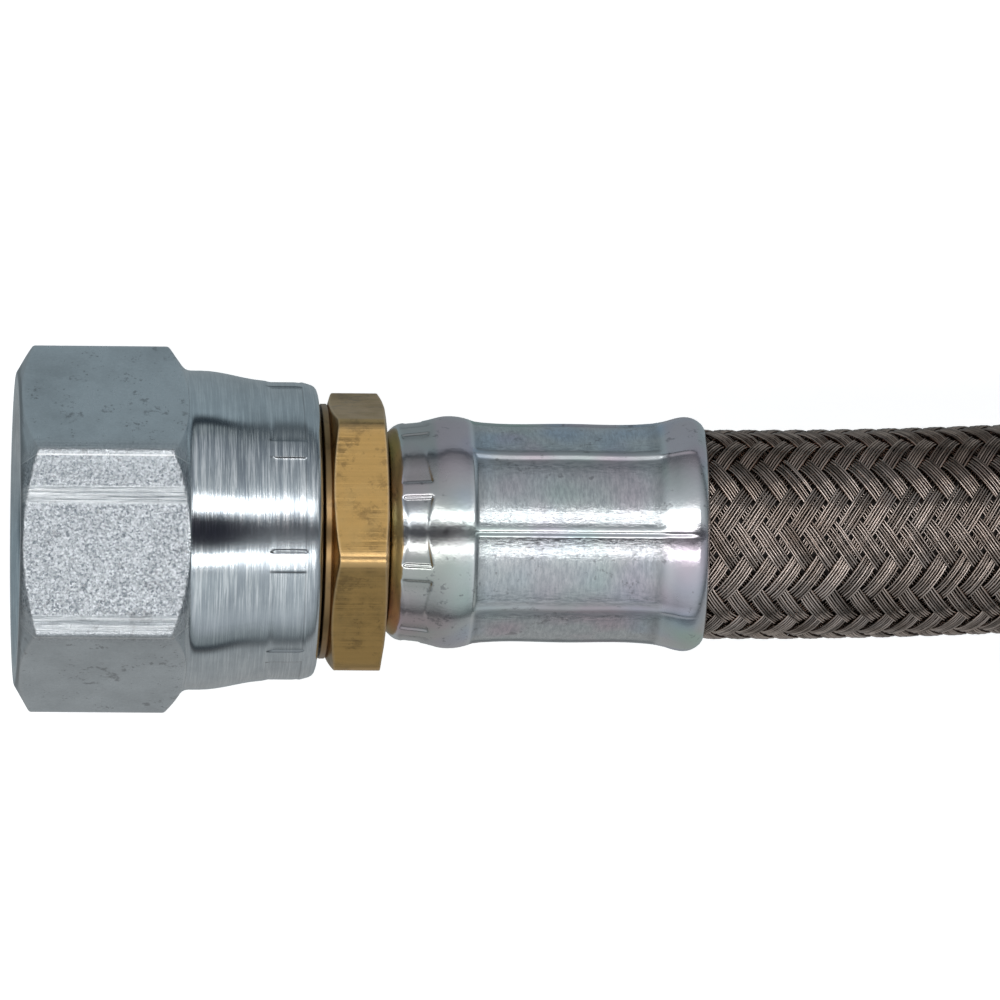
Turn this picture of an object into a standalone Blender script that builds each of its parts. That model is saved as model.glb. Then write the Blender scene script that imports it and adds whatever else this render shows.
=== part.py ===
"""Braided hose assembly with a crimped swivel-nut fitting on each end.

Each fitting is built along its own axis: stations run from the nut's mouth, at 0, towards the hose.
The near fitting's axis is world X, its nut rests on a hexagon flat at z = 0, and the world origin
lies under the middle of the near fitting. The hose leaves it towards +X, eases down to the surface
it lies on, and ends in a second fitting that faces the other way.
"""
import math

import bmesh
import bpy
import numpy as np
from mathutils import Euler, Matrix, Vector

MM = 0.001
TOUCH_GAP = 0.3 * MM            # between faces that touch on the real assembly
TURNED_STEPS = 40               # facets round a turned piece
CUTTER_MARGIN = 2.0 * MM        # how far a cutter runs past what it cuts
SHARP_ANGLE = math.radians(28.0)

# Swivel nut: hexagon
NUT_ACROSS_FLATS = 31.75 * MM
NUT_LENGTH = 29.8 * MM
NUT_HEX_LENGTH = 14.9 * MM      # mouth to where the corners end
NUT_FACE_STEP = 0.375 * MM      # flat end face inside the flats
NUT_CHAMFER_ANGLE = math.radians(30.0)
NUT_BACK_ANGLE = math.radians(53.0)    # slope behind the corners, from the axis
NUT_FILLET = 0.7 * MM           # where the slope runs into the skirt

# Swivel nut: skirt, swaged in over the nipple's flange
SKIRT_STEP = 0.05 * MM          # skirt under the flats
SKIRT_TAPER_LENGTH = 3.8 * MM
SWAGE_STEP = 0.95 * MM          # swaged band under the skirt
SWAGE_BAND_LENGTH = 4.9 * MM
SKIRT_EDGE_LENGTH = 1.0 * MM
SKIRT_EDGE_STEP = 1.7 * MM
DIMPLE_COUNT = 8
DIMPLE_LENGTH = 3.65 * MM
DIMPLE_END_WALL = 1.5 * MM      # band left behind the dimples
DIMPLE_DEPTH = 0.25 * MM
DIMPLE_RIB_WIDTH = 2.0 * MM
DIMPLE_TURN = math.radians(7.3)

# Swivel nut: bore
THREAD_WALL = 3.525 * MM        # between the thread bore and the flats
THREAD_MOUTH_STEP = 1.55 * MM   # bore to the chamfered mouth
THREAD_MOUTH_DEPTH = 1.4 * MM
THREAD_DEPTH = 13.2 * MM
THREAD_RUNOUT = 0.9 * MM
CHAMBER_WALL = 2.275 * MM       # between the flange's chamber and the flats
SWIVEL_CLEARANCE = 0.3 * MM     # flange in the nut's chamber
NECK_CLEARANCE = 0.5 * MM       # neck in the swaged lip
LIP_EDGE = 0.4 * MM

# Nipple: seat, flange and neck inside the nut
SEAT_ANGLE = math.radians(37.0)
SEAT_STATION = 14.0 * MM
SEAT_MOUTH_EDGE = 0.6 * MM      # flat ring round the seat's mouth
NOSE_STEP = 1.4 * MM            # nose under the flange
NOSE_LENGTH = 2.2 * MM
FLANGE_LENGTH = 7.4 * MM
FLANGE_EDGE = 0.4 * MM
NECK_STEP = 2.3 * MM            # neck under the flange
BORE_RADIUS = 6.2 * MM

# Nipple: hexagon between the nut and the ferrule
COLLAR_ACROSS_FLATS = 25.4 * MM
COLLAR_LENGTH = 6.1 * MM
COLLAR_GAP = 0.5 * MM           # behind the nut
COLLAR_FACE_RADIUS = 12.2 * MM
COLLAR_NUT_SIDE_ANGLE = math.radians(17.0)
COLLAR_HOSE_SIDE_ANGLE = math.radians(12.0)
COLLAR_TURN = math.radians(6.8)
COLLAR_ROOT = 1.0 * MM          # collar's overlap into the turned body, before the union

# Nipple: lock groove and tail inside the hose
GROOVE_RADIUS = 8.2 * MM
GROOVE_LENGTH = 3.7 * MM
LOCK_RADIUS = 9.15 * MM
LOCK_LENGTH = 1.2 * MM
TAIL_RADIUS = 7.1 * MM
TAIL_LENGTH = 23.4 * MM
TAIL_EDGE = 0.4 * MM
BARB_COUNT = 4
BARB_PITCH = 4.4 * MM
BARB_HEIGHT = 0.35 * MM

# Ferrule
FERRULE_LENGTH = 31.5 * MM
FERRULE_LOBES = 8
FERRULE_TURN = math.radians(-4.9)      # of the first ridge
FERRULE_START_RADIUS = 9.9 * MM
COLLAR_BAND_RADIUS = 10.8 * MM  # in the first row of dimples
COLLAR_BAND_STATION = 1.2 * MM
COLLAR_DIMPLE_STATION = 1.6 * MM
COLLAR_DIMPLE_LENGTH = 2.8 * MM
COLLAR_RIB_HEIGHT = 0.25 * MM
BULGE_RADIUS = 11.65 * MM
BULGE_STATION = 6.2 * MM
LAND_STATION = 9.0 * MM
LAND_RADIUS = 10.5 * MM
RIDGE_HEIGHT = 0.4 * MM
FLARE_RADIUS = 11.55 * MM
FLARE_STATION = 29.6 * MM
LAND_END_BEFORE_FLARE = 3.0 * MM
FERRULE_WALL_EDGE = 0.2 * MM
RIDGE_HALF_ANGLE = math.radians(5.0)

# Hose: stainless braid over a smooth liner
BRAID_RADIUS = 10.4 * MM
BRAID_WALL = 1.25 * MM
LINER_BORE_RADIUS = 7.95 * MM
CRIMPED_LINER_WALL = 0.7 * MM
CRIMPED_BRAID_WALL = 0.75 * MM
HOSE_NECK_LENGTH = 2.9 * MM     # from crimped to full diameter
HOSE_NECK_END = 1.3 * MM        # before the ferrule's mouth
HOSE_SIDES_RESOLUTION = 4
HOSE_POINT_SPACING = 32.0 * MM
HOSE_LIFT = 0.15 * MM           # lowest stretch above the surface

# Route of the free hose, chosen point by point: run from the near ferrule in mm, side step in mm,
# and share of the way down from the fitting's axis to the surface.
HOSE_ROUTE = (
    (0.0, 0.0, 0.0), (16.0, 0.2, 0.05), (41.0, 1.3, 0.28), (66.0, 3.2, 0.61), (91.0, 5.9, 0.89),
    (116.0, 9.4, 1.0), (141.0, 13.3, 1.0), (166.0, 17.7, 1.0), (192.5, 22.5, 1.0),
    (219.0, 27.3, 1.0), (244.0, 31.7, 1.0), (269.0, 35.6, 1.0), (294.0, 39.1, 0.89),
    (319.0, 41.8, 0.61), (344.0, 43.7, 0.28), (369.0, 44.8, 0.05), (385.0, 45.0, 0.0),
)

ASSEMBLY_NAME = "hydraulic_hose_assembly"

# Sizes that follow from those above
AXIS_HEIGHT = NUT_ACROSS_FLATS / 2
HEX_CORNER_FACTOR = 1 / math.cos(math.pi / 6)
NUT_FACE_RADIUS = NUT_ACROSS_FLATS / 2 - NUT_FACE_STEP
THREAD_BORE_RADIUS = NUT_ACROSS_FLATS / 2 - THREAD_WALL
THREAD_MOUTH_RADIUS = THREAD_BORE_RADIUS + THREAD_MOUTH_STEP
FLANGE_RADIUS = NUT_ACROSS_FLATS / 2 - CHAMBER_WALL - SWIVEL_CLEARANCE
NOSE_RADIUS = FLANGE_RADIUS - NOSE_STEP
SEAT_MOUTH_RADIUS = NOSE_RADIUS - SEAT_MOUTH_EDGE
NECK_RADIUS = FLANGE_RADIUS - NECK_STEP
COLLAR_STATION = NUT_LENGTH + COLLAR_GAP
COLLAR_END = COLLAR_STATION + COLLAR_LENGTH
FERRULE_STATION = COLLAR_END + TOUCH_GAP
FITTING_LENGTH = FERRULE_STATION + FERRULE_LENGTH
GROOVE_END = COLLAR_END + GROOVE_LENGTH
HOSE_STATION = GROOVE_END + LOCK_LENGTH + TOUCH_GAP
CRIMPED_LINER_BORE = TAIL_RADIUS + TOUCH_GAP
CRIMPED_LINER_RADIUS = CRIMPED_LINER_BORE + CRIMPED_LINER_WALL
CRIMPED_BRAID_BORE = CRIMPED_LINER_RADIUS + TOUCH_GAP
CRIMPED_BRAID_RADIUS = CRIMPED_BRAID_BORE + CRIMPED_BRAID_WALL
FERRULE_BORE = CRIMPED_BRAID_RADIUS + TOUCH_GAP
FERRULE_MOUTH_BORE = BRAID_RADIUS + TOUCH_GAP
BRAID_BORE = BRAID_RADIUS - BRAID_WALL
LINER_RADIUS = BRAID_BORE - TOUCH_GAP
LIE_HEIGHT = BRAID_RADIUS + HOSE_LIFT


def clear_scene():
    """Remove the objects that the scene starts with."""
    for item in list(bpy.data.objects):
        bpy.data.objects.remove(item, do_unlink=True)


def new_collection(name):
    """Make a collection under the scene's own."""
    collection = bpy.data.collections.new(name)
    bpy.context.scene.collection.children.link(collection)
    return collection


def new_material(name, colour, roughness, metallic):
    """Make a Principled material from a linear colour."""
    material = bpy.data.materials.new(name)
    material.use_nodes = True
    shader = material.node_tree.nodes["Principled BSDF"]
    shader.inputs["Base Color"].default_value = (*colour, 1.0)
    shader.inputs["Roughness"].default_value = roughness
    shader.inputs["Metallic"].default_value = metallic
    material.diffuse_color = (*colour, 1.0)
    return material


def new_object(name, mesh, collection, parent=None):
    """Put a mesh in a collection as an object, under a parent."""
    item = bpy.data.objects.new(name, mesh)
    collection.objects.link(item)
    item.parent = parent
    return item


def new_end(name, location, turn, collection):
    """Make the empty that holds one fitting, its local Z along the fitting's axis, towards the hose."""
    empty = bpy.data.objects.new(name, None)
    empty.location = location
    empty.rotation_euler = Euler((0.0, turn, 0.0))
    collection.objects.link(empty)
    return empty


def turned(name, profile, collection, parent):
    """Turn a closed outline of (station, radius) points, outer side first, about the local Z axis."""
    points = [(radius, 0.0, station) for station, radius in reversed(profile)]
    count = len(points)
    edges = [(index, (index + 1) % count) for index in range(count)]
    mesh = bpy.data.meshes.new(name)
    mesh.from_pydata(points, edges, [])
    item = new_object(name, mesh, collection, parent)
    screw = item.modifiers.new("turn", "SCREW")
    screw.axis = "Z"
    screw.angle = 2 * math.pi
    screw.steps = TURNED_STEPS
    screw.render_steps = TURNED_STEPS
    return item


def hex_prism(name, across_flats, start, end, corner_angle, collection, parent):
    """Make a hexagonal bar between two stations, with a corner at the given angle from local X."""
    form = bmesh.new()
    radius = across_flats / 2 * HEX_CORNER_FACTOR
    bmesh.ops.create_cone(
        form, cap_ends=True, segments=6, radius1=radius, radius2=radius, depth=end - start)
    first = math.atan2(form.verts[:][0].co.y, form.verts[:][0].co.x)
    bmesh.ops.rotate(form, verts=form.verts, matrix=Matrix.Rotation(corner_angle - first, 3, "Z"))
    bmesh.ops.translate(form, verts=form.verts, vec=(0.0, 0.0, (start + end) / 2))
    mesh = bpy.data.meshes.new(name)
    form.to_mesh(mesh)
    form.free()
    return new_object(name, mesh, collection, parent)


def ring_of_blocks(name, count, first_angle, inner, outer, width, start, end, collection, parent):
    """Make separate radial blocks round the axis, between two radii and two stations."""
    form = bmesh.new()
    for index in range(count):
        size = Matrix.Diagonal((outer - inner, width, end - start, 1.0))
        place = Matrix.Translation(((inner + outer) / 2, 0.0, (start + end) / 2))
        turn = Matrix.Rotation(first_angle + index * 2 * math.pi / count, 4, "Z")
        bmesh.ops.create_cube(form, size=1.0, matrix=turn @ place @ size)
    mesh = bpy.data.meshes.new(name)
    form.to_mesh(mesh)
    form.free()
    return new_object(name, mesh, collection, parent)


def boolean(item, operation, other):
    """Combine an object with another by an exact Boolean."""
    modifier = item.modifiers.new(operation.lower(), "BOOLEAN")
    modifier.operation = operation
    modifier.solver = "EXACT"
    modifier.object = other


def hide_cutters(cutters):
    """Show the cutters as wires only, and keep them out of renders."""
    for item in cutters.objects:
        item.hide_render = True
        item.display_type = "WIRE"


def finished_mesh(item, name):
    """Return an object's mesh with its modifiers applied, in its own frame."""
    bpy.context.view_layer.update()
    graph = bpy.context.evaluated_depsgraph_get()
    mesh = bpy.data.meshes.new_from_object(item.evaluated_get(graph))
    mesh.name = name
    return mesh


def smooth_mesh(item, name, material):
    """Return a finished mesh in one material, shaded smooth except at its edges."""
    mesh = finished_mesh(item, name)
    mesh.materials.clear()
    mesh.materials.append(material)
    mesh.shade_smooth()
    mesh.set_sharp_from_angle(angle=SHARP_ANGLE)
    return mesh


def nut_profile():
    """Outline of the nut as turned: corner envelope, swaged skirt, lip, chamber and thread bore."""
    corner = NUT_ACROSS_FLATS / 2 * HEX_CORNER_FACTOR + CUTTER_MARGIN / 2
    skirt = NUT_ACROSS_FLATS / 2 - SKIRT_STEP
    corner_front = (corner - NUT_FACE_RADIUS) * math.tan(NUT_CHAMFER_ANGLE)
    corner_back = NUT_HEX_LENGTH - CUTTER_MARGIN / 2 / math.tan(NUT_BACK_ANGLE)
    skirt_front = corner_back + (corner - skirt) / math.tan(NUT_BACK_ANGLE)
    swage_start = NUT_LENGTH - SKIRT_EDGE_LENGTH - SWAGE_BAND_LENGTH
    swage = skirt - SWAGE_STEP
    edge_start = NUT_LENGTH - SKIRT_EDGE_LENGTH
    fillet_drop = NUT_FILLET * math.tan(NUT_BACK_ANGLE) / 2
    outer = [
        (0.0, NUT_FACE_RADIUS),
        (corner_front, corner),
        (corner_back, corner),
        (skirt_front - NUT_FILLET / 2, skirt + fillet_drop),
        (skirt_front + NUT_FILLET, skirt),
    ]
    for share in (0.0, 0.5, 1.0):
        ease = (1 - math.cos(math.pi * share)) / 2
        station = swage_start - SKIRT_TAPER_LENGTH * (1 - share)
        outer.append((station, skirt - SWAGE_STEP * ease))
    for share in (0.0, 1 / 3, 2 / 3, 1.0):
        angle = share * math.pi / 2
        station = edge_start + SKIRT_EDGE_LENGTH * math.sin(angle)
        outer.append((station, swage - SKIRT_EDGE_STEP * (1 - math.cos(angle))))
    flange_end = SEAT_STATION + NOSE_LENGTH + FLANGE_LENGTH
    chamber = FLANGE_RADIUS + SWIVEL_CLEARANCE
    lip = NECK_RADIUS + NECK_CLEARANCE
    chamber_end = flange_end + SWIVEL_CLEARANCE * (math.sqrt(2) - 1)
    inner = [
        (NUT_LENGTH, lip + LIP_EDGE),
        (NUT_LENGTH - LIP_EDGE, lip),
        (chamber_end + chamber - lip, lip),
        (chamber_end, chamber),
        (THREAD_DEPTH + THREAD_RUNOUT, chamber),
        (THREAD_DEPTH, THREAD_BORE_RADIUS),
        (THREAD_MOUTH_DEPTH, THREAD_BORE_RADIUS),
        (0.0, THREAD_MOUTH_RADIUS),
    ]
    return outer + inner


def make_nut(cutters, end):
    """Swivel nut: turned envelope cut to a hexagon, with a ring of swaging dimples round the skirt."""
    nut = turned("nut_form", nut_profile(), cutters, end)
    bar = hex_prism("nut_hexagon", NUT_ACROSS_FLATS, -CUTTER_MARGIN, NUT_LENGTH + CUTTER_MARGIN,
                    math.pi / 6, cutters, end)
    dimple_end = NUT_LENGTH - DIMPLE_END_WALL
    dimple_start = dimple_end - DIMPLE_LENGTH
    floor = NUT_ACROSS_FLATS / 2 - SKIRT_STEP - SWAGE_STEP - DIMPLE_DEPTH
    rim = NUT_ACROSS_FLATS / 2 + CUTTER_MARGIN
    ring = turned("nut_dimple_ring",
                  [(dimple_start, rim), (dimple_end, rim), (dimple_end, floor), (dimple_start, floor)],
                  cutters, end)
    ribs = ring_of_blocks("nut_dimple_ribs", DIMPLE_COUNT, DIMPLE_TURN, floor - CUTTER_MARGIN,
                          rim + CUTTER_MARGIN, DIMPLE_RIB_WIDTH, dimple_start - CUTTER_MARGIN,
                          dimple_end + CUTTER_MARGIN, cutters, end)
    boolean(ring, "DIFFERENCE", ribs)
    boolean(nut, "INTERSECT", bar)
    boolean(nut, "DIFFERENCE", ring)
    return nut


def barb_points():
    """Saw-tooth points of the tail's barbs, each rising towards the hexagon."""
    start = GROOVE_END + LOCK_LENGTH
    first = start + (TAIL_LENGTH - (BARB_COUNT - 1) * BARB_PITCH) / 2
    points = [(start, TAIL_RADIUS - BARB_HEIGHT)]
    for index in range(BARB_COUNT):
        station = first + index * BARB_PITCH
        points.append((station, TAIL_RADIUS - BARB_HEIGHT))
        points.append((station, TAIL_RADIUS))
    points.append((start + TAIL_LENGTH - TAIL_EDGE, TAIL_RADIUS - BARB_HEIGHT))
    return points


def nipple_profile():
    """Outline of the nipple as turned: seat nose, flange, neck, lock groove, barbed tail and bore."""
    flange_start = SEAT_STATION + NOSE_LENGTH
    flange_end = flange_start + FLANGE_LENGTH
    tail_end = GROOVE_END + LOCK_LENGTH + TAIL_LENGTH
    seat_depth = (SEAT_MOUTH_RADIUS - BORE_RADIUS) / math.tan(SEAT_ANGLE)
    outer = [
        (SEAT_STATION, NOSE_RADIUS),
        (flange_start, NOSE_RADIUS),
        (flange_start, FLANGE_RADIUS - FLANGE_EDGE),
        (flange_start + FLANGE_EDGE, FLANGE_RADIUS),
        (flange_end, FLANGE_RADIUS),
        (flange_end + FLANGE_RADIUS - NECK_RADIUS, NECK_RADIUS),
        (COLLAR_STATION + COLLAR_ROOT, NECK_RADIUS),
        (COLLAR_STATION + COLLAR_ROOT, GROOVE_RADIUS),
        (GROOVE_END, GROOVE_RADIUS),
        (GROOVE_END, LOCK_RADIUS),
        (GROOVE_END + LOCK_LENGTH, LOCK_RADIUS),
    ]
    inner = [
        (tail_end, TAIL_RADIUS - BARB_HEIGHT - TAIL_EDGE / 2),
        (tail_end, BORE_RADIUS),
        (SEAT_STATION + seat_depth, BORE_RADIUS),
        (SEAT_STATION, SEAT_MOUTH_RADIUS),
    ]
    return outer + barb_points() + inner


def make_nipple(cutters, end):
    """Nipple: one turned piece with a chamfered hexagon joined on between nut and ferrule."""
    nipple = turned("nipple_form", nipple_profile(), cutters, end)
    corner = COLLAR_ACROSS_FLATS / 2 * HEX_CORNER_FACTOR + CUTTER_MARGIN / 2
    rise = corner - COLLAR_FACE_RADIUS
    root = (BORE_RADIUS + GROOVE_RADIUS) / 2
    collar = turned("nipple_hexagon",
                    [(COLLAR_STATION, COLLAR_FACE_RADIUS),
                     (COLLAR_STATION + rise * math.tan(COLLAR_NUT_SIDE_ANGLE), corner),
                     (COLLAR_END - rise * math.tan(COLLAR_HOSE_SIDE_ANGLE), corner),
                     (COLLAR_END, COLLAR_FACE_RADIUS),
                     (COLLAR_END, root),
                     (COLLAR_STATION, root)],
                    cutters, end)
    bar = hex_prism("nipple_hexagon_bar", COLLAR_ACROSS_FLATS, COLLAR_STATION - CUTTER_MARGIN,
                    COLLAR_END + CUTTER_MARGIN, COLLAR_TURN, cutters, end)
    boolean(collar, "INTERSECT", bar)
    boolean(nipple, "UNION", collar)
    return nipple


def lobe_angles():
    """Angles round the ferrule: each lobe has a ridge, its two feet and the two sides of a rib."""
    pitch = 2 * math.pi / FERRULE_LOBES
    within = (0.0, RIDGE_HALF_ANGLE, pitch / 2 - RIDGE_HALF_ANGLE, pitch / 2,
              pitch / 2 + RIDGE_HALF_ANGLE, pitch - RIDGE_HALF_ANGLE)
    lobes = [lobe * pitch + angle for lobe in range(FERRULE_LOBES) for angle in within]
    return FERRULE_TURN + np.array(lobes)


def ferrule_sections():
    """Outer sections: (station, base radius, ridge height at lobe angles, rib height between them)."""
    dimple_end = COLLAR_DIMPLE_STATION + COLLAR_DIMPLE_LENGTH
    dimple_edge = TOUCH_GAP
    land_end = FLARE_STATION - LAND_END_BEFORE_FLARE
    lip_radius = FERRULE_MOUTH_BORE + FERRULE_WALL_EDGE
    return (
        (0.0, FERRULE_START_RADIUS, 0.0, 0.0),
        (COLLAR_BAND_STATION, COLLAR_BAND_RADIUS + COLLAR_RIB_HEIGHT, 0.0, 0.0),
        (COLLAR_DIMPLE_STATION, COLLAR_BAND_RADIUS + COLLAR_RIB_HEIGHT, 0.0, 0.0),
        (COLLAR_DIMPLE_STATION + dimple_edge, COLLAR_BAND_RADIUS, 0.0, COLLAR_RIB_HEIGHT),
        (dimple_end - dimple_edge, COLLAR_BAND_RADIUS, 0.0, COLLAR_RIB_HEIGHT),
        (dimple_end, COLLAR_BAND_RADIUS + COLLAR_RIB_HEIGHT, 0.0, 0.0),
        (BULGE_STATION, BULGE_RADIUS, 0.0, 0.0),
        ((BULGE_STATION + LAND_STATION) / 2, (BULGE_RADIUS + LAND_RADIUS + RIDGE_HEIGHT) / 2, 0.0, 0.0),
        (LAND_STATION, LAND_RADIUS, RIDGE_HEIGHT, 0.0),
        (land_end, LAND_RADIUS, RIDGE_HEIGHT, 0.0),
        ((land_end + FLARE_STATION) / 2, (LAND_RADIUS + FLARE_RADIUS) / 2, RIDGE_HEIGHT / 2, 0.0),
        (FLARE_STATION, FLARE_RADIUS, 0.0, 0.0),
        ((FLARE_STATION + FERRULE_LENGTH) / 2, (FLARE_RADIUS * 3 + lip_radius) / 4, 0.0, 0.0),
        (FERRULE_LENGTH, lip_radius, 0.0, 0.0),
    )


def ferrule_bore_sections():
    """Inner sections from the hose mouth back: bell, crimped bore and the collar in the groove."""
    bell_end = FERRULE_LENGTH - HOSE_NECK_END - TOUCH_GAP
    collar_end = GROOVE_LENGTH - 2 * TOUCH_GAP
    collar_bore = GROOVE_RADIUS + TOUCH_GAP
    return (
        (FERRULE_LENGTH, FERRULE_MOUTH_BORE),
        (bell_end, FERRULE_MOUTH_BORE),
        (bell_end - HOSE_NECK_LENGTH, FERRULE_BORE),
        (collar_end, FERRULE_BORE),
        (collar_end, collar_bore),
        (0.0, collar_bore),
    )


def ring_points(station, radii, angles):
    """Points of one section round the fitting's axis."""
    return np.column_stack((radii * np.cos(angles), radii * np.sin(angles), np.full(len(angles), station)))


def make_ferrule(cutters, end):
    """Ferrule: a loft through lobed and round sections outside, closed by a round stepped bore."""
    angles = lobe_angles()
    count = len(angles)
    place = np.arange(count) % (count // FERRULE_LOBES)
    on_ridge = (place == 0).astype(float)
    on_rib = (place == count // FERRULE_LOBES // 2).astype(float)
    rings = []
    for station, radius, ridge, rib in ferrule_sections():
        radii = radius + ridge * on_ridge + rib * on_rib
        rings.append(ring_points(FERRULE_STATION + station, radii, angles))
    for station, radius in ferrule_bore_sections():
        rings.append(ring_points(FERRULE_STATION + station, np.full(count, radius), angles))
    points = np.concatenate(rings)
    faces = []
    for ring in range(len(rings)):
        following = (ring + 1) % len(rings)
        for index in range(count):
            beside = (index + 1) % count
            faces.append((ring * count + index, ring * count + beside,
                          following * count + beside, following * count + index))
    mesh = bpy.data.meshes.new("ferrule_form")
    mesh.from_pydata(points.tolist(), [], faces)
    return new_object("ferrule_form", mesh, cutters, end)


def route_point(run, side, down):
    """World place of a route point of the free hose."""
    height = AXIS_HEIGHT - down * (AXIS_HEIGHT - LIE_HEIGHT)
    return (FITTING_LENGTH / 2 + run * MM, side * MM, height)


def smooth_route(spacing):
    """Even points on the cubic spline through the route, leaving and arriving along the fittings."""
    knots = np.array([route_point(*point) for point in HOSE_ROUTE])
    along = np.concatenate(([0.0], np.cumsum(np.linalg.norm(np.diff(knots, axis=0), axis=1))))
    gaps = np.diff(along)
    count = len(knots)
    system = np.eye(count)
    slopes = np.zeros((count, 3))
    slopes[0] = slopes[-1] = (1.0, 0.0, 0.0)
    for row in range(1, count - 1):
        before = gaps[row - 1]
        after = gaps[row]
        system[row, row - 1:row + 2] = (after, 2 * (before + after), before)
        slopes[row] = 3 * (after * (knots[row] - knots[row - 1]) / before
                           + before * (knots[row + 1] - knots[row]) / after)
    slopes = np.linalg.solve(system, slopes)
    samples = np.linspace(0.0, along[-1], max(2, round(along[-1] / spacing)) + 1)
    span = np.clip(np.searchsorted(along, samples, side="right") - 1, 0, count - 2)
    width = gaps[span][:, None]
    share = (samples[:, None] - along[span][:, None]) / width
    start_weight = 2 * share**3 - 3 * share**2 + 1
    return (start_weight * knots[span] + (1 - start_weight) * knots[span + 1]
            + width * share * (1 - share)**2 * slopes[span]
            - width * share**2 * (1 - share) * slopes[span + 1])


def hose_points(crimped, full, overrun):
    """Centre line and radius at each point of one hose layer, from inside one ferrule to the other."""
    free = smooth_route(HOSE_POINT_SPACING)
    first = free[0]
    last = free[-1]
    neck_end = HOSE_NECK_END
    neck_start = neck_end + HOSE_NECK_LENGTH
    depth = FITTING_LENGTH - HOSE_STATION + overrun
    points = [(first - (depth, 0.0, 0.0), crimped), (first - (neck_start, 0.0, 0.0), crimped),
              (first - (neck_end, 0.0, 0.0), full)]
    points += [(point, full) for point in free]
    points += [(last + (neck_end, 0.0, 0.0), full), (last + (neck_start, 0.0, 0.0), crimped),
               (last + (depth, 0.0, 0.0), crimped)]
    return points


def tube(name, points, collection):
    """Make a closed tube mesh from a curve through points, each with its own radius."""
    curve = bpy.data.curves.new(name, "CURVE")
    curve.dimensions = "3D"
    curve.bevel_depth = 1.0
    curve.bevel_resolution = HOSE_SIDES_RESOLUTION
    curve.use_fill_caps = True
    spline = curve.splines.new("POLY")
    spline.points.add(len(points) - 1)
    for knot, (place, radius) in zip(spline.points, points):
        knot.co = (*place, 1.0)
        knot.radius = radius
    drawn = bpy.data.objects.new(name + "_line", curve)
    collection.objects.link(drawn)
    mesh = finished_mesh(drawn, name)
    bpy.data.objects.remove(drawn, do_unlink=True)
    form = bmesh.new()
    form.from_mesh(mesh)
    bmesh.ops.remove_doubles(form, verts=form.verts, dist=TOUCH_GAP / 100)
    bmesh.ops.recalc_face_normals(form, faces=form.faces)
    form.to_mesh(mesh)
    form.free()
    return new_object(name, mesh, collection)


def make_layer(name, crimped, full, cutters):
    """One hose layer: a tube along the route with a thinner one cut out, given (bore, outer) radii."""
    layer = tube(name + "_form", hose_points(crimped[1], full[1], 0.0), cutters)
    core = tube(name + "_bore", hose_points(crimped[0], full[0], CUTTER_MARGIN), cutters)
    boolean(layer, "DIFFERENCE", core)
    return layer


def main():
    """Build both fittings and the hose between them."""
    clear_scene()
    parts = new_collection(ASSEMBLY_NAME)
    cutters = new_collection("cutters")
    zinc = new_material("zinc_plated_steel", (0.50, 0.53, 0.56), 0.35, 1.0)
    brass = new_material("yellow_plated_nipple", (0.42, 0.29, 0.11), 0.38, 1.0)
    wire = new_material("stainless_braid", (0.25, 0.22, 0.20), 0.40, 1.0)
    plastic = new_material("liner_plastic", (0.03, 0.028, 0.026), 0.50, 0.0)

    far_x, far_y, _ = route_point(*HOSE_ROUTE[-1])
    near = new_end("near_end", (-FITTING_LENGTH / 2, 0.0, AXIS_HEIGHT), math.pi / 2, parts)
    far = new_end("far_end", (far_x + FITTING_LENGTH, far_y, AXIS_HEIGHT), -math.pi / 2, parts)

    for piece, make, material in (("nut", make_nut, zinc), ("nipple", make_nipple, brass),
                                  ("ferrule", make_ferrule, zinc)):
        mesh = smooth_mesh(make(cutters, near), piece, material)
        new_object("near_" + piece, mesh, parts, near)
        new_object("far_" + piece, mesh, parts, far)

    braid = make_layer("braid", (CRIMPED_BRAID_BORE, CRIMPED_BRAID_RADIUS),
                       (BRAID_BORE, BRAID_RADIUS), cutters)
    new_object("hose_braid", smooth_mesh(braid, "braid", wire), parts)
    liner = make_layer("liner", (CRIMPED_LINER_BORE, CRIMPED_LINER_RADIUS),
                       (LINER_BORE_RADIUS, LINER_RADIUS), cutters)
    new_object("hose_liner", smooth_mesh(liner, "liner", plastic), parts)
    hide_cutters(cutters)


main()
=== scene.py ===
"""Dress a braided hydraulic hose assembly and set it in a small studio.

Each fitting (nut, nipple and ferrule) is worked out in its own stations: a station is the distance from
the nut's mouth along the fitting's axis, and an angle is measured round that axis. The hose is worked out
along its centre line. Everything is placed in the frame that the solids are in.
"""
import math
from collections import namedtuple

import bpy
import numpy as np
from bpy.props import FloatProperty, FloatVectorProperty, IntProperty, PointerProperty
from mathutils import Matrix, Vector


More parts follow.
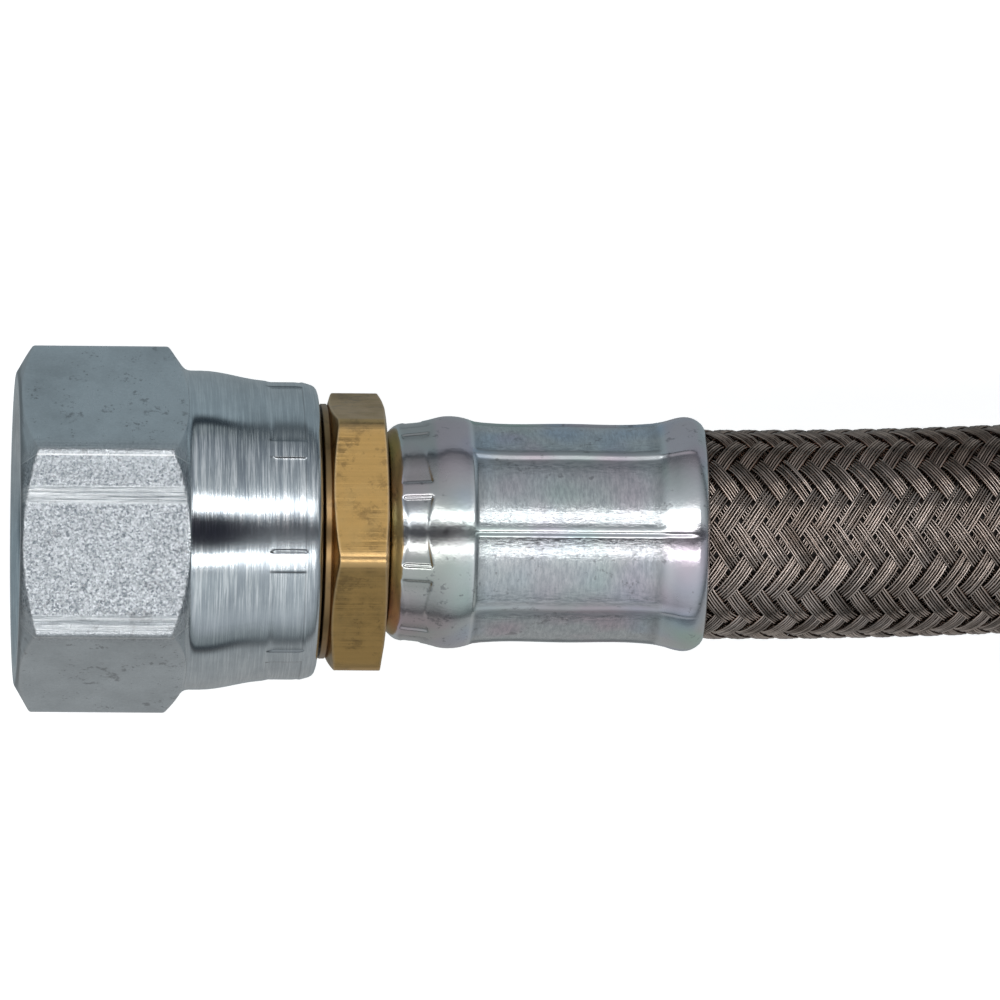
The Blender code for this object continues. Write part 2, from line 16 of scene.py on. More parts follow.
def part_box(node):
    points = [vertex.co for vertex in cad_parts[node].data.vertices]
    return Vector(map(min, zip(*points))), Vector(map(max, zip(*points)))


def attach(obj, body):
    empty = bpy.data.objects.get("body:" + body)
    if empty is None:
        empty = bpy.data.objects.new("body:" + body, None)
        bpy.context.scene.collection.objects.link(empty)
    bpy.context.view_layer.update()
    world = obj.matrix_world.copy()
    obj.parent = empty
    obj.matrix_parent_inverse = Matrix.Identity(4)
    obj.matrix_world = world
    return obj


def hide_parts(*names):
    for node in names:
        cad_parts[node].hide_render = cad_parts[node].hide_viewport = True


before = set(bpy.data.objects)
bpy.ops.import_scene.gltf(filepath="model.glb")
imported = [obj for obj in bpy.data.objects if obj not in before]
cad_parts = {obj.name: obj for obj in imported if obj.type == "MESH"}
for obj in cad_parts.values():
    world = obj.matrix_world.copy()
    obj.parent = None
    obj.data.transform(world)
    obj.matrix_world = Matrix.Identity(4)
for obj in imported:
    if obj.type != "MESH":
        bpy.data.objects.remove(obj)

bl_info = {
    "name": "Hydraulic hose assembly",
    "version": (1, 0, 0),
    "blender": (4, 5, 0),
    "location": "3D View > Sidebar > Hose",
    "description": "Builds a braided hose with a crimped swivel-nut fitting on each end",
    "category": "Object",
}

MM = 0.001
TURN = 2 * math.pi
HEX_PITCH = TURN / 6            # from one corner of a hexagon to the next
CORNER_SHARES = (    # where a hexagon's corner needs points, as shares of the reach of its rounding
    -1.9, -1.25, -0.8, -0.4, 0.0, 0.4, 0.8, 1.25, 1.9)
HOSE_BODY = "hose_and_nipples"

# Places that come from the solids
NEAR_NUT_LOW, NEAR_NUT_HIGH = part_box("near_nut")
FAR_NUT_LOW, FAR_NUT_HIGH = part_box("far_nut")
FERRULE_LOW, FERRULE_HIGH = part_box("near_ferrule")
NIPPLE_LOW, NIPPLE_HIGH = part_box("near_nipple")
NUT_LENGTH = NEAR_NUT_HIGH.x - NEAR_NUT_LOW.x
NUT_ACROSS_FLATS = NEAR_NUT_HIGH.z - NEAR_NUT_LOW.z
AXIS_HEIGHT = (NEAR_NUT_LOW.z + NEAR_NUT_HIGH.z) / 2
FERRULE_STATION = FERRULE_LOW.x - NEAR_NUT_LOW.x
FERRULE_LENGTH = FERRULE_HIGH.x - FERRULE_LOW.x
SEAT_STATION = NIPPLE_LOW.x - NEAR_NUT_LOW.x
TAIL_STATION = NIPPLE_HIGH.x - NEAR_NUT_LOW.x
FITTING_LENGTH = FERRULE_STATION + FERRULE_LENGTH

Fitting = namedtuple("Fitting", "name mouth side sense swivel")
FITTINGS = (
    Fitting("near", NEAR_NUT_LOW.x, (NEAR_NUT_LOW.y + NEAR_NUT_HIGH.y) / 2, 1, "near_swivel"),
    Fitting("far", FAR_NUT_HIGH.x, (FAR_NUT_LOW.y + FAR_NUT_HIGH.y) / 2, -1, "far_swivel"),
)

# Nut: hexagon
FACE_INSET = 0.375 * MM         # flat end face inside the flats
CHAMFER_ANGLE = math.radians(30.0)
BACK_ANGLE = math.radians(53.0)
CORNER_ROUND = 0.7 * MM

# Nut: skirt
SKIRT_STEP = 0.05 * MM
SKIRT_TAPER = (18.2 * MM, 25.2 * MM)
SWAGE_STEP = 0.95 * MM
DIMPLE_STATIONS = (24.55 * MM, 28.15 * MM)
DIMPLE_TURN = math.radians(7.3)
DIMPLE_RIB_WIDTH = 2.0 * MM
DIMPLE_DEPTH = 0.13 * MM
DIMPLE_SLOPE = 0.07 * MM        # how much the depth falls from a mark's ends to its middle
RIB_WALL = (-0.012, -0.004, 0.004, 0.012)    # turns off a rib's side where its wall needs points
SKIRT_END = (    # (before the nut's end, step under the swaged band), in millimetres
    (2.3, 0.0), (1.95, 0.03), (1.6, 0.10), (1.34, 0.17), (1.0, 0.26), (0.62, 0.38), (0.36, 0.52),
    (0.18, 0.74), (0.07, 1.05), (0.015, 1.45), (0.0, 1.9),
)

# Nut: bore
THREAD_CREST = 12.35 * MM
THREAD_HEIGHT = 1.15 * MM
THREAD_FLANK = (0.14, 0.80)     # where the flank starts and ends, as shares of half a pitch
THREAD_ROWS = 68
BORE_ROWS = THREAD_ROWS + 5     # rows of the profile from just before the thread to the mouth
CHAMBER_ROWS = THREAD_ROWS + 14    # rows of the profile from behind the lip to the mouth
MOUTH_RADIUS = 13.9 * MM
MOUTH_DEPTH = 1.4 * MM
THREAD_END = 13.2 * MM
THREAD_RUNOUT = 0.9 * MM
CHAMBER_RADIUS = 13.6 * MM
CHAMBER_END = 23.72 * MM
LIP_RADIUS = 11.5 * MM

# Nipple
SEAT_ANGLE = math.radians(37.0)
SEAT_MOUTH = 11.3 * MM
NOSE_RADIUS = 11.9 * MM
NOSE_LENGTH = 2.2 * MM
FLANGE_RADIUS = 13.3 * MM
FLANGE_LENGTH = 7.4 * MM
NECK_RADIUS = 11.0 * MM
WATERWAY_RADIUS = 6.2 * MM
RING = (0.3 * MM, 0.92 * MM, 12.65 * MM)    # flat ring: start and end behind the nut, radius
RING_STEP = 0.25 * MM           # from the ring's edge down to the band behind it
COLLAR_GAP = 1.0 * MM
COLLAR_END_GAP = 0.3 * MM
COLLAR_FACE_INSET = 0.4 * MM
COLLAR_NUT_SIDE_ANGLE = math.radians(17.0)
COLLAR_HOSE_SIDE_ANGLE = math.radians(10.0)
COLLAR_TURN = math.radians(6.8)
COLLAR_ROUND = 1.5 * MM
GROOVE_RADIUS = 8.2 * MM
GROOVE_LENGTH = 3.7 * MM
LOCK_RADIUS = 9.15 * MM
LOCK_LENGTH = 1.2 * MM
TAIL_RADIUS = 7.1 * MM
BARB_COUNT = 4
BARB_PITCH = 4.4 * MM
BARB_HEIGHT = 0.35 * MM

# Ferrule, in stations from its own start: outline along the ridges, then its collar, lands and bore
FERRULE_TURN = math.radians(-4.9)
FERRULE_OUTLINE = (    # (station, radius) in millimetres
    (0.0, 9.7), (0.35, 10.1), (0.7, 10.42), (1.05, 10.63), (1.5, 10.76), (2.0, 10.84), (2.8, 10.92),
    (3.8, 11.06), (4.6, 11.24), (5.4, 11.41), (6.2, 11.47), (7.2, 11.40), (8.0, 11.24), (8.9, 11.0),
    (10.0, 10.9), (18.0, 10.87), (25.6, 10.9), (26.7, 11.0), (27.8, 11.22), (28.9, 11.53),
    (29.7, 11.64), (30.5, 11.5), (31.1, 11.15), (31.42, 10.84), (31.5, 10.7),
)
COLLAR_DIMPLES = (1.2 * MM, 4.1 * MM)
COLLAR_DIMPLE_HALF_ANGLE = math.radians(18.0)
COLLAR_DIMPLE_WAIST = 0.55 * MM
COLLAR_DIMPLE_DEPTHS = (0.09 * MM, 0.15 * MM)    # at the waist, and how much more at the ends
LANDS = (8.5 * MM, 26.8 * MM)
LAND_DEPTH = 0.24 * MM
RIDGE_SIDES = (1.15 * MM, 0.42 * MM)    # long slope and short slope
RIDGE_OFFSETS = (    # turns off a ridge where its slopes need points
    -0.11, -0.09, -0.07, -0.05, -0.034, -0.018, -0.008, 0.006, 0.014, 0.022, 0.03, 0.038, 0.05)
CREASE_DEPTH = 0.09 * MM        # behind the lands
BULGE_SWELL = 0.06 * MM         # of the bulge before the lands, in line with each ridge
FERRULE_SPANS = (    # (from, to, rows), with the stations in millimetres
    (0, 0.9, 8), (0.9, 4.5, 31), (4.5, 8.0, 12), (8.0, 8.8, 10), (8.8, 26.2, 26), (26.2, 27.8, 9),
    (27.8, 31.5, 21),
)
FERRULE_COLLAR_BORE = 8.5 * MM
FERRULE_COLLAR_LENGTH = 3.1 * MM
CRIMPED_BORE = 9.45 * MM
MOUTH_BORE = 10.52 * MM

# Hose
HOSE_STATION = 41.6 * MM        # where liner and braid start, inside the ferrule
LINER_BORE = 7.95 * MM
LINER_RADIUS = 9.5 * MM
CRIMPED_LINER_BORE = 7.4 * MM
CRIMPED_LINER_RADIUS = 8.2 * MM
LINER_SIDES = 48
LINER_SPACING = 2.0 * MM        # from ring to ring
BRAID_MIDDLE = 10.02 * MM
CRIMPED_BRAID_MIDDLE = 8.75 * MM
BRAID_WAVE = 0.25 * MM
WIRE_STEP = 0.138               # from wire to wire, as a share of a band's own step
WIRE_SCATTER = 0.009            # how far a wire stands off its place, in the same share
WIRE_WANDER = 0.0022            # how far a wire wanders as it runs, as an angle round the hose
WANDER_STEPS = 12               # points of a wire from one wander to the next
WIRE_CROWN = 0.035 * MM         # rise of a band's middle wires over its outer ones
WIRE_LIFT = 0.010 * MM          # how far a wire stands over or under its layer, by chance
WIRE_SIDES = 4                  # one face closes each end of a four-sided wire
WIRE_CORNER = 1.06              # corner radius of a wire's tube, as a share of the wire's radius
STEPS_PER_CROSSING = 2          # points of a wire from one crossing band to the next
BRAID_PIECES = 6                # in which the bands of each hand are built
BRAID_CHANCE = 7                # seed of the braid's random draws
NECK_START = 4.2 * MM           # full diameter to crimped, before the ferrule's mouth
NECK_END = 1.3 * MM
LIE_HEIGHT = 10.55 * MM
BRAID_TURN = math.radians(12.7)
HOSE_ROUTE = (   # (run from the near ferrule, side step, share of the way down to the surface)
    (0.0, 0.0, 0.0), (0.016, 0.0002, 0.05), (0.041, 0.0013, 0.28), (0.066, 0.0032, 0.61),
    (0.091, 0.0059, 0.89), (0.116, 0.0094, 1.0), (0.141, 0.0133, 1.0), (0.166, 0.0177, 1.0),
    (0.1925, 0.0225, 1.0), (0.219, 0.0273, 1.0), (0.244, 0.0317, 1.0), (0.269, 0.0356, 1.0),
    (0.294, 0.0391, 0.89), (0.319, 0.0418, 0.61), (0.344, 0.0437, 0.28), (0.369, 0.0448, 0.05),
    (0.385, 0.045, 0.0),
)

# Bright bands across a nut's flat, and a painted highlight line near its edge: middle and half width,
# in millimetres from the flat's middle
UPPER_BAND = (4.7, 1.0)
LOWER_BAND = (-8.05, 0.98)
RIM_HIGHLIGHT_BAND = (8.65, 0.10)

# Tones laid over the plating of the nuts, with painted glints, painted shade and painted highlights among
# them
WHITE = (1.0, 1.0, 1.0)
GLINT_SPECKLE_DARK = (0.15, 0.175, 0.20)
GLINT_SPECKLE_BRIGHT = (0.88, 0.90, 0.93)
SPECKLE_PAINTED_SHADE = (0.20, 0.23, 0.26)
DRAWN_BRIGHT = (0.98, 0.99, 1.0)
DRAWN_DARK = (0.34, 0.37, 0.40)
BRUSHED_PAINTED_SHADE = (0.23, 0.27, 0.32)
BRUSHED_PAINTED_HIGHLIGHT = (0.96, 0.98, 1.0)
SCUFF_GREY = (0.15, 0.15, 0.16)
WORN_ZINC = (0.90, 0.91, 0.92)
NUT_DARKENING = (0.17, 0.18, 0.19)

# Tones laid over the brass, with a painted shade for the neck
TARNISH_BROWN = (0.36, 0.27, 0.13)
GRAIN_BROWN = (0.20, 0.13, 0.055)
SPECK_BROWN = (0.16, 0.10, 0.05)
WORN_BRASS = (0.95, 0.70, 0.42)
NECK_PAINTED_SHADE = (0.16, 0.11, 0.075)

# Tones laid over the plating of the ferrules, with a painted shade for the ridges on the sides; each
# tint has the shift that sets its clouds apart
PLATING_TINTS = (((0.44, 0.58, 0.76), 3.7), ((0.52, 0.70, 0.60), 9.1), ((0.74, 0.49, 0.60), 0.0))
COLLAR_TONE = (0.42, 0.39, 0.36)
ROSE_TONE = (0.68, 0.54, 0.60)
RIDGE_PAINTED_SHADE = (0.30, 0.32, 0.34)
STROKE_GREY = (0.23, 0.26, 0.29)
FERRULE_SCUFF = (0.16, 0.16, 0.17)
CREASE_DARKENING = (0.22, 0.22, 0.22)
WORN_FERRULE = (0.92, 0.92, 0.92)

# Tones laid over the wire, with a painted shade for its +Y side
FILM_BROWN = (0.24, 0.16, 0.11)
WARM_SIDE_SHADE = (0.82, 0.73, 0.68)

# Studio
FLOOR_HALF_WIDTH = 20.0
FLOOR_GLOW = 0.62
STRIP_LENGTH = 1.6             # of each soft box
STRIP_HEIGHT = 0.9
STRIPS = ((23.5, 0.18, 3.0), (-16.2, 0.13, 2.2))    # degrees from upright towards +Y, width, watts
SKY = (    # (height from straight down, 0, to straight up, 1; colour)
    (0.0, (0.26, 0.30, 0.32)), (0.43, (0.31, 0.37, 0.40)), (0.465, (0.03, 0.04, 0.05)),
    (0.508, (0.03, 0.04, 0.05)), (0.53, (0.24, 0.27, 0.28)), (0.58, (0.29, 0.32, 0.33)),
    (0.66, (0.46, 0.49, 0.52)), (0.90, (0.66, 0.70, 0.72)), (1.0, (0.56, 0.58, 0.59)),
)
FAR_WALL = (0.10, 0.12, 0.14)
NEAR_FLOOR = (0.46, 0.43, 0.41)
DARK_SLOT = (0.07, 0.24)       # middle and half width between the soft boxes, as slopes
SLOT_TONE = (0.02, 0.02, 0.03)
VIEW_CENTRE = Vector((0.0140, 0.00325, AXIS_HEIGHT))
VIEW_FROM = Vector((-0.071, 0.080, 1.0))
VIEW_ROLL = math.radians(0.8)
SENSOR_WIDTH = 36.0            # in millimetres
CLIP_RANGE = (0.01, 60.0)


class NutSettings(bpy.types.PropertyGroup):
    """Sizes and colour of the two swivel nuts."""

    across_flats: FloatProperty(
        name="Across flats", description="Spanner size of the hexagon", default=NUT_ACROSS_FLATS,
        min=0.01, max=0.1, precision=5, subtype="DISTANCE", unit="LENGTH")
    hex_length: FloatProperty(
        name="Hexagon length", description="From the mouth to where the corners end",
        default=14.9 * MM, min=0.005, max=0.05, precision=5, subtype="DISTANCE", unit="LENGTH")
    thread_pitch: FloatProperty(
        name="Thread pitch", description="Advance of the thread in one turn",
        default=25.4 / 12 * MM, min=0.0005, max=0.005, precision=6, subtype="DISTANCE", unit="LENGTH")
    dimples: IntProperty(
        name="Swaging marks", description="Marks round the skirt", default=8, min=3, max=16)
    colour: FloatVectorProperty(
        name="Plating", description="Colour of the zinc plating", default=(0.66, 0.71, 0.74),
        min=0.0, max=1.0, size=3, subtype="COLOR")


class NippleSettings(bpy.types.PropertyGroup):
    """Sizes and colour of the two nipples."""

    across_flats: FloatProperty(
        name="Across flats", description="Spanner size of the hexagon between nut and ferrule",
        default=25.4 * MM, min=0.01, max=0.1, precision=5, subtype="DISTANCE", unit="LENGTH")
    colour: FloatVectorProperty(
        name="Brass", description="Colour of the yellow metal", default=(0.635, 0.39, 0.141),
        min=0.0, max=1.0, size=3, subtype="COLOR")


class FerruleSettings(bpy.types.PropertyGroup):
    """Sizes and colour of the two crimped ferrules."""

    dies: IntProperty(
        name="Crimping dies", description="Lands pressed round the ferrule", default=8, min=4, max=16)
    land_depth: FloatProperty(
        name="Land depth", description="How far each land is pressed in under the ridges",
        default=LAND_DEPTH, min=0.0, max=0.001, precision=6, subtype="DISTANCE", unit="LENGTH")
    colour: FloatVectorProperty(
        name="Plating", description="Colour of the zinc plating", default=(0.68, 0.71, 0.72),
        min=0.0, max=1.0, size=3, subtype="COLOR")


class HoseSettings(bpy.types.PropertyGroup):
    """Sizes and colours of the braid and liner."""

    carriers: IntProperty(
        name="Bands each way", description="Bands of wire that wind each way round the hose",
        default=18, min=6, max=36)
    wires: IntProperty(
        name="Wires in a band", description="Wires side by side in one band", default=6, min=2, max=12)
    wire_diameter: FloatProperty(
        name="Wire diameter", description="Diameter of one wire", default=0.235 * MM,
        min=0.0001, max=0.001, precision=6, subtype="DISTANCE", unit="LENGTH")
    lead: FloatProperty(
        name="Lead", description="Length of hose in which a band goes once round",
        default=42.7 * MM, min=0.01, max=0.2, precision=5, subtype="DISTANCE", unit="LENGTH")
    wire_colour: FloatVectorProperty(
        name="Wire", description="Colour of the stainless wire", default=(0.48, 0.41, 0.37),
        min=0.0, max=1.0, size=3, subtype="COLOR")
    liner_colour: FloatVectorProperty(
        name="Liner", description="Colour of the liner under the braid", default=(0.019, 0.014, 0.012),
        min=0.0, max=1.0, size=3, subtype="COLOR")


class StudioSettings(bpy.types.PropertyGroup):
    """Camera, lights and floor."""

    view_width: FloatProperty(
        name="View width", description="Width of the picture at the fitting's axis",
        default=0.0993, min=0.01, max=2.0, precision=4, subtype="DISTANCE", unit="LENGTH")
    distance: FloatProperty(
        name="Camera distance", description="From the camera to the fitting's axis", default=1.3,
        min=0.2, max=10.0, subtype="DISTANCE", unit="LENGTH")
    floor_colour: FloatVectorProperty(
        name="Floor", description="Colour of the floor", default=(0.86, 0.86, 0.86),
        min=0.0, max=1.0, size=3, subtype="COLOR")


# ---------------------------------------------------------------- shapes

def smooth(low, high, value):
    """Smooth step: 0 below low, 1 above high, and 3t^2 - 2t^3 between, with t the share of the way."""
    share = np.clip((value - low) / (high - low), 0.0, 1.0)
    return share * share * (3 - 2 * share)


def window(low, high, soft, value):
    """1 between low and high, and 0 outside, with smooth steps of length soft centred on both ends."""
    rise = smooth(low - soft / 2, low + soft / 2, value)
    return rise * (1 - smooth(high - soft / 2, high + soft / 2, value))


def spline(knots, values, samples):
    """Cubic Hermite curve through (knot, value) pairs; each slope is that of the parabola through
    a knot and its two neighbours, and the end slopes are those of the end spans."""
    gaps = np.diff(knots)
    rates = np.diff(values, axis=0) / gaps.reshape(-1, *[1] * (values.ndim - 1))
    before = gaps[:-1].reshape(-1, *[1] * (values.ndim - 1))
    after = gaps[1:].reshape(-1, *[1] * (values.ndim - 1))
    inner = (rates[:-1] * after + rates[1:] * before) / (before + after)
    slopes = np.concatenate((rates[:1], inner, rates[-1:]))
    return hermite(knots, values, slopes, samples)


def hermite(knots, values, slopes, samples):
    """Cubic with given values and slopes at the knots: on each span it is h00 P0 + h10 w M0 + h01 P1
    + h11 w M1, where w is the span and h are the Hermite weights."""
    span = np.clip(np.searchsorted(knots, samples, side="right") - 1, 0, len(knots) - 2)
    shape = (-1, *[1] * (values.ndim - 1))
    width = np.diff(knots)[span].reshape(shape)
    share = ((samples - knots[span]) / np.diff(knots)[span]).reshape(shape)
    start = 2 * share**3 - 3 * share**2 + 1
    return (start * values[span] + (1 - start) * values[span + 1]
            + width * share * (1 - share)**2 * slopes[span]
            - width * share**2 * (1 - share) * slopes[span + 1])


def ring_angles(count, *fine):
    """Angles of a ring: count even ones, with those in fine merged in, on a lattice of small steps."""
    lattice = TURN / 5040
    merged = np.concatenate([np.arange(count) * TURN / count, *[np.ravel(extra) for extra in fine]])
    return np.unique(np.round(merged % TURN / lattice) % 5040) * lattice


def around(centres, offsets):
    """Every sum of a centre and an offset."""
    return np.add.outer(np.asarray(centres), np.asarray(offsets))


def off_nearest(angles, first, pitch):
    """How far each angle lies from the nearest angle of a ring, which has a first angle and a pitch."""
    return (angles - first + pitch / 2) % pitch - pitch / 2


def corner_reach(across_flats, rounding):
    """Angle off a hexagon's corner at which its rounding meets the flats."""
    flat = across_flats / 2
    return HEX_PITCH / 2 - math.atan((flat - rounding) * math.tan(HEX_PITCH / 2) / flat)


def rounded_hexagon(angles, across_flats, rounding, first_corner):
    """Distance from the axis to a hexagon with rounded corners.

    On a flat it is (half the size across flats) / cos(angle from the flat's middle). Near a corner it is the
    far point, on the ray at that angle, of a circle of the rounding's radius that touches both flats.
    """
    flat = across_flats / 2
    off_corner = np.abs(off_nearest(angles, first_corner, HEX_PITCH))
    centre = (flat - rounding) / math.cos(HEX_PITCH / 2)
    arc = centre * np.cos(off_corner) + np.sqrt(np.maximum(rounding**2 - (centre * np.sin(off_corner))**2, 0))
    return np.where(off_corner < corner_reach(across_flats, rounding), arc,
                    flat / np.cos(HEX_PITCH / 2 - off_corner))


def corner_offsets(across_flats, rounding):
    """Angles off a hexagon's corner at which its rounding needs points."""
    return corner_reach(across_flats, rounding) * np.array(CORNER_SHARES)


def hexagon_angles(count, first_corner, across_flats, rounding, *fine):
    """Angles of a ring round a hexagon: count even ones, those that its corners need, and those in fine."""
    corners = first_corner + np.arange(6) * HEX_PITCH
    return ring_angles(count, around(corners, corner_offsets(across_flats, rounding)), *fine)


def rounded_profile(corners, count):
    """Rows of a closed profile with rounded corners, at count angles.

    A corner is (station, radius, fillet, rows in the arc, rows after it, wear); station and radius may be
    arrays over the angles. A row on the arc at corner P is (1-t)^2 A + 2t(1-t) P + t^2 B, with A and B the
    points of the neighbouring spans at the fillet's distance from P. Rows on a straight span lie closer
    together near its ends: the share of the way is (1 - cos(pi j / (n + 1))) / 2.
    Returns stations and radii (rows x angles), and the wear of each row.
    """
    places = np.array([[np.broadcast_to(station, count), np.broadcast_to(radius, count)]
                       for station, radius, *_ in corners], float)
    fillets = np.array([corner[2] for corner in corners]).reshape(-1, 1, 1)
    to_last = np.roll(places, 1, axis=0) - places
    to_next = np.roll(places, -1, axis=0) - places
    length_last = np.maximum(np.linalg.norm(to_last, axis=1, keepdims=True), 1e-9)
    length_next = np.maximum(np.linalg.norm(to_next, axis=1, keepdims=True), 1e-9)
    arrive = places + to_last / length_last * np.minimum(fillets, 0.45 * length_last)
    leave = places + to_next / length_next * np.minimum(fillets, 0.45 * length_next)
    rows, wear = [], []
    for index, (_, _, _, arc_rows, span_rows, worn) in enumerate(corners):
        following = arrive[(index + 1) % len(corners)]
        for t in np.linspace(0, 1, arc_rows) if arc_rows > 1 else (0.5,):
            rows.append((1 - t)**2 * arrive[index] + 2 * t * (1 - t) * places[index] + t**2 * leave[index])
            wear.append(worn * math.sin(math.pi * (0.15 + 0.7 * t)))
        for step in range(1, span_rows + 1):
            share = (1 - math.cos(math.pi * step / (span_rows + 1))) / 2
            rows.append((1 - share) * leave[index] + share * following)
            wear.append(0.0)
    rows = np.array(rows)
    return rows[:, 0], rows[:, 1], np.array(wear)


def seat_in_frame(fitting, stations, radii, angles):
    """World points of a fitting: along X by the station, out by the radius at each angle."""
    return np.stack((
        fitting.mouth + fitting.sense * stations,
        fitting.side + radii * np.sin(angles),
        AXIS_HEIGHT - fitting.sense * radii * np.cos(angles)), axis=-1)


def surface_mesh(name, points, attributes=None):
    """Mesh of a grid of points (rows x columns) that is closed along the rows and along the columns.

    A face joins (r, c), (r, c+1), (r+1, c+1) and (r+1, c). Its UV map has the column's share of the turn
    across and the row's share of all rows up. An attribute is one value a point.
    """
    rows, columns = points.shape[:2]
    index = np.arange(rows * columns).reshape(rows, columns)
    row = np.arange(rows)[:, None]
    column = np.arange(columns)[None, :]
    next_row = (row + 1) % rows
    next_column = (column + 1) % columns
    quads = np.stack((index[row, column], index[row, next_column],
                      index[next_row, next_column], index[next_row, column]), axis=-1)
    up = np.arange(rows + 1) / rows
    across = np.arange(columns + 1) / columns
    corner_u = np.stack(np.broadcast_arrays(across[column], across[column + 1],
                                            across[column + 1], across[column]), axis=-1)
    corner_v = np.stack(np.broadcast_arrays(up[row], up[row], up[row + 1], up[row + 1]), axis=-1)
    corner_u, corner_v = np.broadcast_arrays(corner_u, corner_v)
    mesh = new_mesh(name, points.reshape(-1, 3), quads.reshape(-1, 4))
    layer = mesh.uv_layers.new(name="surface")
    layer.data.foreach_set("uv", np.stack((corner_u, corner_v), axis=-1).astype(np.float32).ravel())
    add_attributes(mesh, attributes, (rows, columns))
    return mesh


def add_attributes(mesh, attributes, shape):
    """Store each named array, spread to the grid's shape, as a value a point."""
    for title, values in (attributes or {}).items():
        layer = mesh.attributes.new(title, "FLOAT", "POINT")
        layer.data.foreach_set("value", np.broadcast_to(values, shape).astype(np.float32).ravel())


def new_mesh(name, points, faces):
    """Mesh from an array of points and an array of four-sided faces, shaded smooth."""
    mesh = bpy.data.meshes.new(name)
    mesh.vertices.add(len(points))
    mesh.vertices.foreach_set("co", points.astype(np.float32).ravel())
    mesh.loops.add(faces.size)
    mesh.loops.foreach_set("vertex_index", faces.astype(np.int32).ravel())
    mesh.polygons.add(len(faces))
    mesh.polygons.foreach_set("loop_start", np.arange(0, faces.size, 4, dtype=np.int32))
    mesh.polygons.foreach_set("use_smooth", np.ones(len(faces), bool))
    mesh.update(calc_edges=True)
    return mesh


def add_piece(mesh, material, body, replaces=()):
    """Put a finished mesh in the scene as a piece that rides on a body and stands for some solids."""
    mesh.materials.append(material)
    piece = bpy.data.objects.new(mesh.name, mesh)
    bpy.context.scene.collection.objects.link(piece)
    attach(piece, body)
    if replaces:
        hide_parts(*replaces)
    return piece


# ---------------------------------------------------------------- nut

def thread_radius(stations, angles, pitch):
    """Radius of the right-hand thread in the nut.

    The phase is station / pitch - angle / turn. The radius is the crest's, plus the thread's height times a
    wave that is flat at crest and root, and it fades out at both ends of the thread.
    """
    phase = (stations / pitch - angles / TURN) % 1.0
    wave = smooth(*THREAD_FLANK, 1 - np.abs(2 * phase - 1))
    ends = smooth(MOUTH_DEPTH * 0.8, MOUTH_DEPTH * 1.6, stations) \
        * (1 - smooth(THREAD_END - 0.9 * MM, THREAD_END - 0.2 * MM, stations))
    return THREAD_CREST + THREAD_HEIGHT * wave * ends


def rib_half_angle(across_flats):
    """Half the angle that a rib between two swaging marks takes up on the skirt."""
    return DIMPLE_RIB_WIDTH / 2 / (across_flats / 2 - SWAGE_STEP)


def dimple_cut(stations, angles, nut):
    """Depth of the swaging marks on the nut's skirt: pads between narrow ribs, shallow in the middle of
    each pad and deeper at its ends, with steep walls."""
    pitch = TURN / nut.dimples
    off_rib = np.abs(off_nearest(angles, DIMPLE_TURN, pitch))
    rib = rib_half_angle(nut.across_flats)
    pad = smooth(rib - 0.006, rib + 0.010, off_rib)
    low, high = DIMPLE_STATIONS
    along = smooth(low - 0.1 * MM, low + 0.7 * MM, stations) \
        * (1 - smooth(high - 0.25 * MM, high + 0.2 * MM, stations))
    inward = np.clip(2 * off_rib / pitch - 0.4, -1, 1)
    return (DIMPLE_DEPTH - DIMPLE_SLOPE * inward) * pad * along


def skirt_outline(skirt):
    """Stations and radii of the swaged skirt: eased down by the swage, then rounded over at its end."""
    low, high = DIMPLE_STATIONS
    stations = np.unique(np.round(np.concatenate((
        np.linspace(*SKIRT_TAPER, 9), np.linspace(low - 0.1 * MM, low + 0.7 * MM, 7),
        np.linspace(low + 0.7 * MM, high, 7), np.linspace(high - 0.25 * MM, high + 0.2 * MM, 6),
        NUT_LENGTH - MM * np.array([before for before, _ in SKIRT_END]))), 6))
    share = np.clip((stations - SKIRT_TAPER[0]) / (SKIRT_TAPER[1] - SKIRT_TAPER[0]), 0, 1)
    before, step = np.array(SKIRT_END[::-1]).T * MM
    return stations, skirt - SWAGE_STEP * (1 - np.cos(math.pi * share)) / 2 \
        - np.interp(NUT_LENGTH - stations, before, step, right=0.0)


def nut_corners(nut, hexagon):
    """Corners of the nut's profile, as rounded_profile takes them: up the end face, over the chamfer to the
    hexagon, along it, down the cone behind its corners, along the skirt, over the lip, and back through the
    chamber and the thread to the mouth."""
    size = nut.across_flats
    corner = size / 2 / math.cos(HEX_PITCH / 2)
    face = size / 2 - FACE_INSET
    skirt = size / 2 - SKIRT_STEP
    skirt_start = nut.hex_length + (corner - skirt) / math.tan(BACK_ANGLE)
    return [
        (0.0, face, 0.12 * MM, 4, 3, 1.0),
        ((hexagon - face) * math.tan(CHAMFER_ANGLE), hexagon, 0.22 * MM, 4, 12, 0.5),
        (nut.hex_length + (corner - hexagon) / math.tan(BACK_ANGLE), hexagon, 0.25 * MM, 4, 3, 0.4),
        (skirt_start - 0.1 * MM, skirt, 0.6 * MM, 4, 3, 0.0),
        *[(station, radius, 0.0, 1, 0, 0.15 if station > SKIRT_TAPER[1] else 0.0)
          for station, radius in zip(*skirt_outline(skirt))],
        (NUT_LENGTH, LIP_RADIUS + 0.4 * MM, 0.1 * MM, 3, 1, 0.5),
        (NUT_LENGTH - 0.4 * MM, LIP_RADIUS, 0.1 * MM, 2, 2, 0.0),
        (CHAMBER_END + CHAMBER_RADIUS - LIP_RADIUS, LIP_RADIUS, 0.1 * MM, 2, 1, 0.0),
        (CHAMBER_END, CHAMBER_RADIUS, 0.3 * MM, 2, 2, 0.0),
        (THREAD_END + THREAD_RUNOUT, CHAMBER_RADIUS, 0.2 * MM, 2, 1, 0.0),
        *[(station, THREAD_CREST, 0.0, 1, 0, 0.0)
          for station in np.linspace(THREAD_END, MOUTH_DEPTH * 0.75, THREAD_ROWS)],
        (0.0, MOUTH_RADIUS, 0.2 * MM, 3, 1, 0.6),
    ]


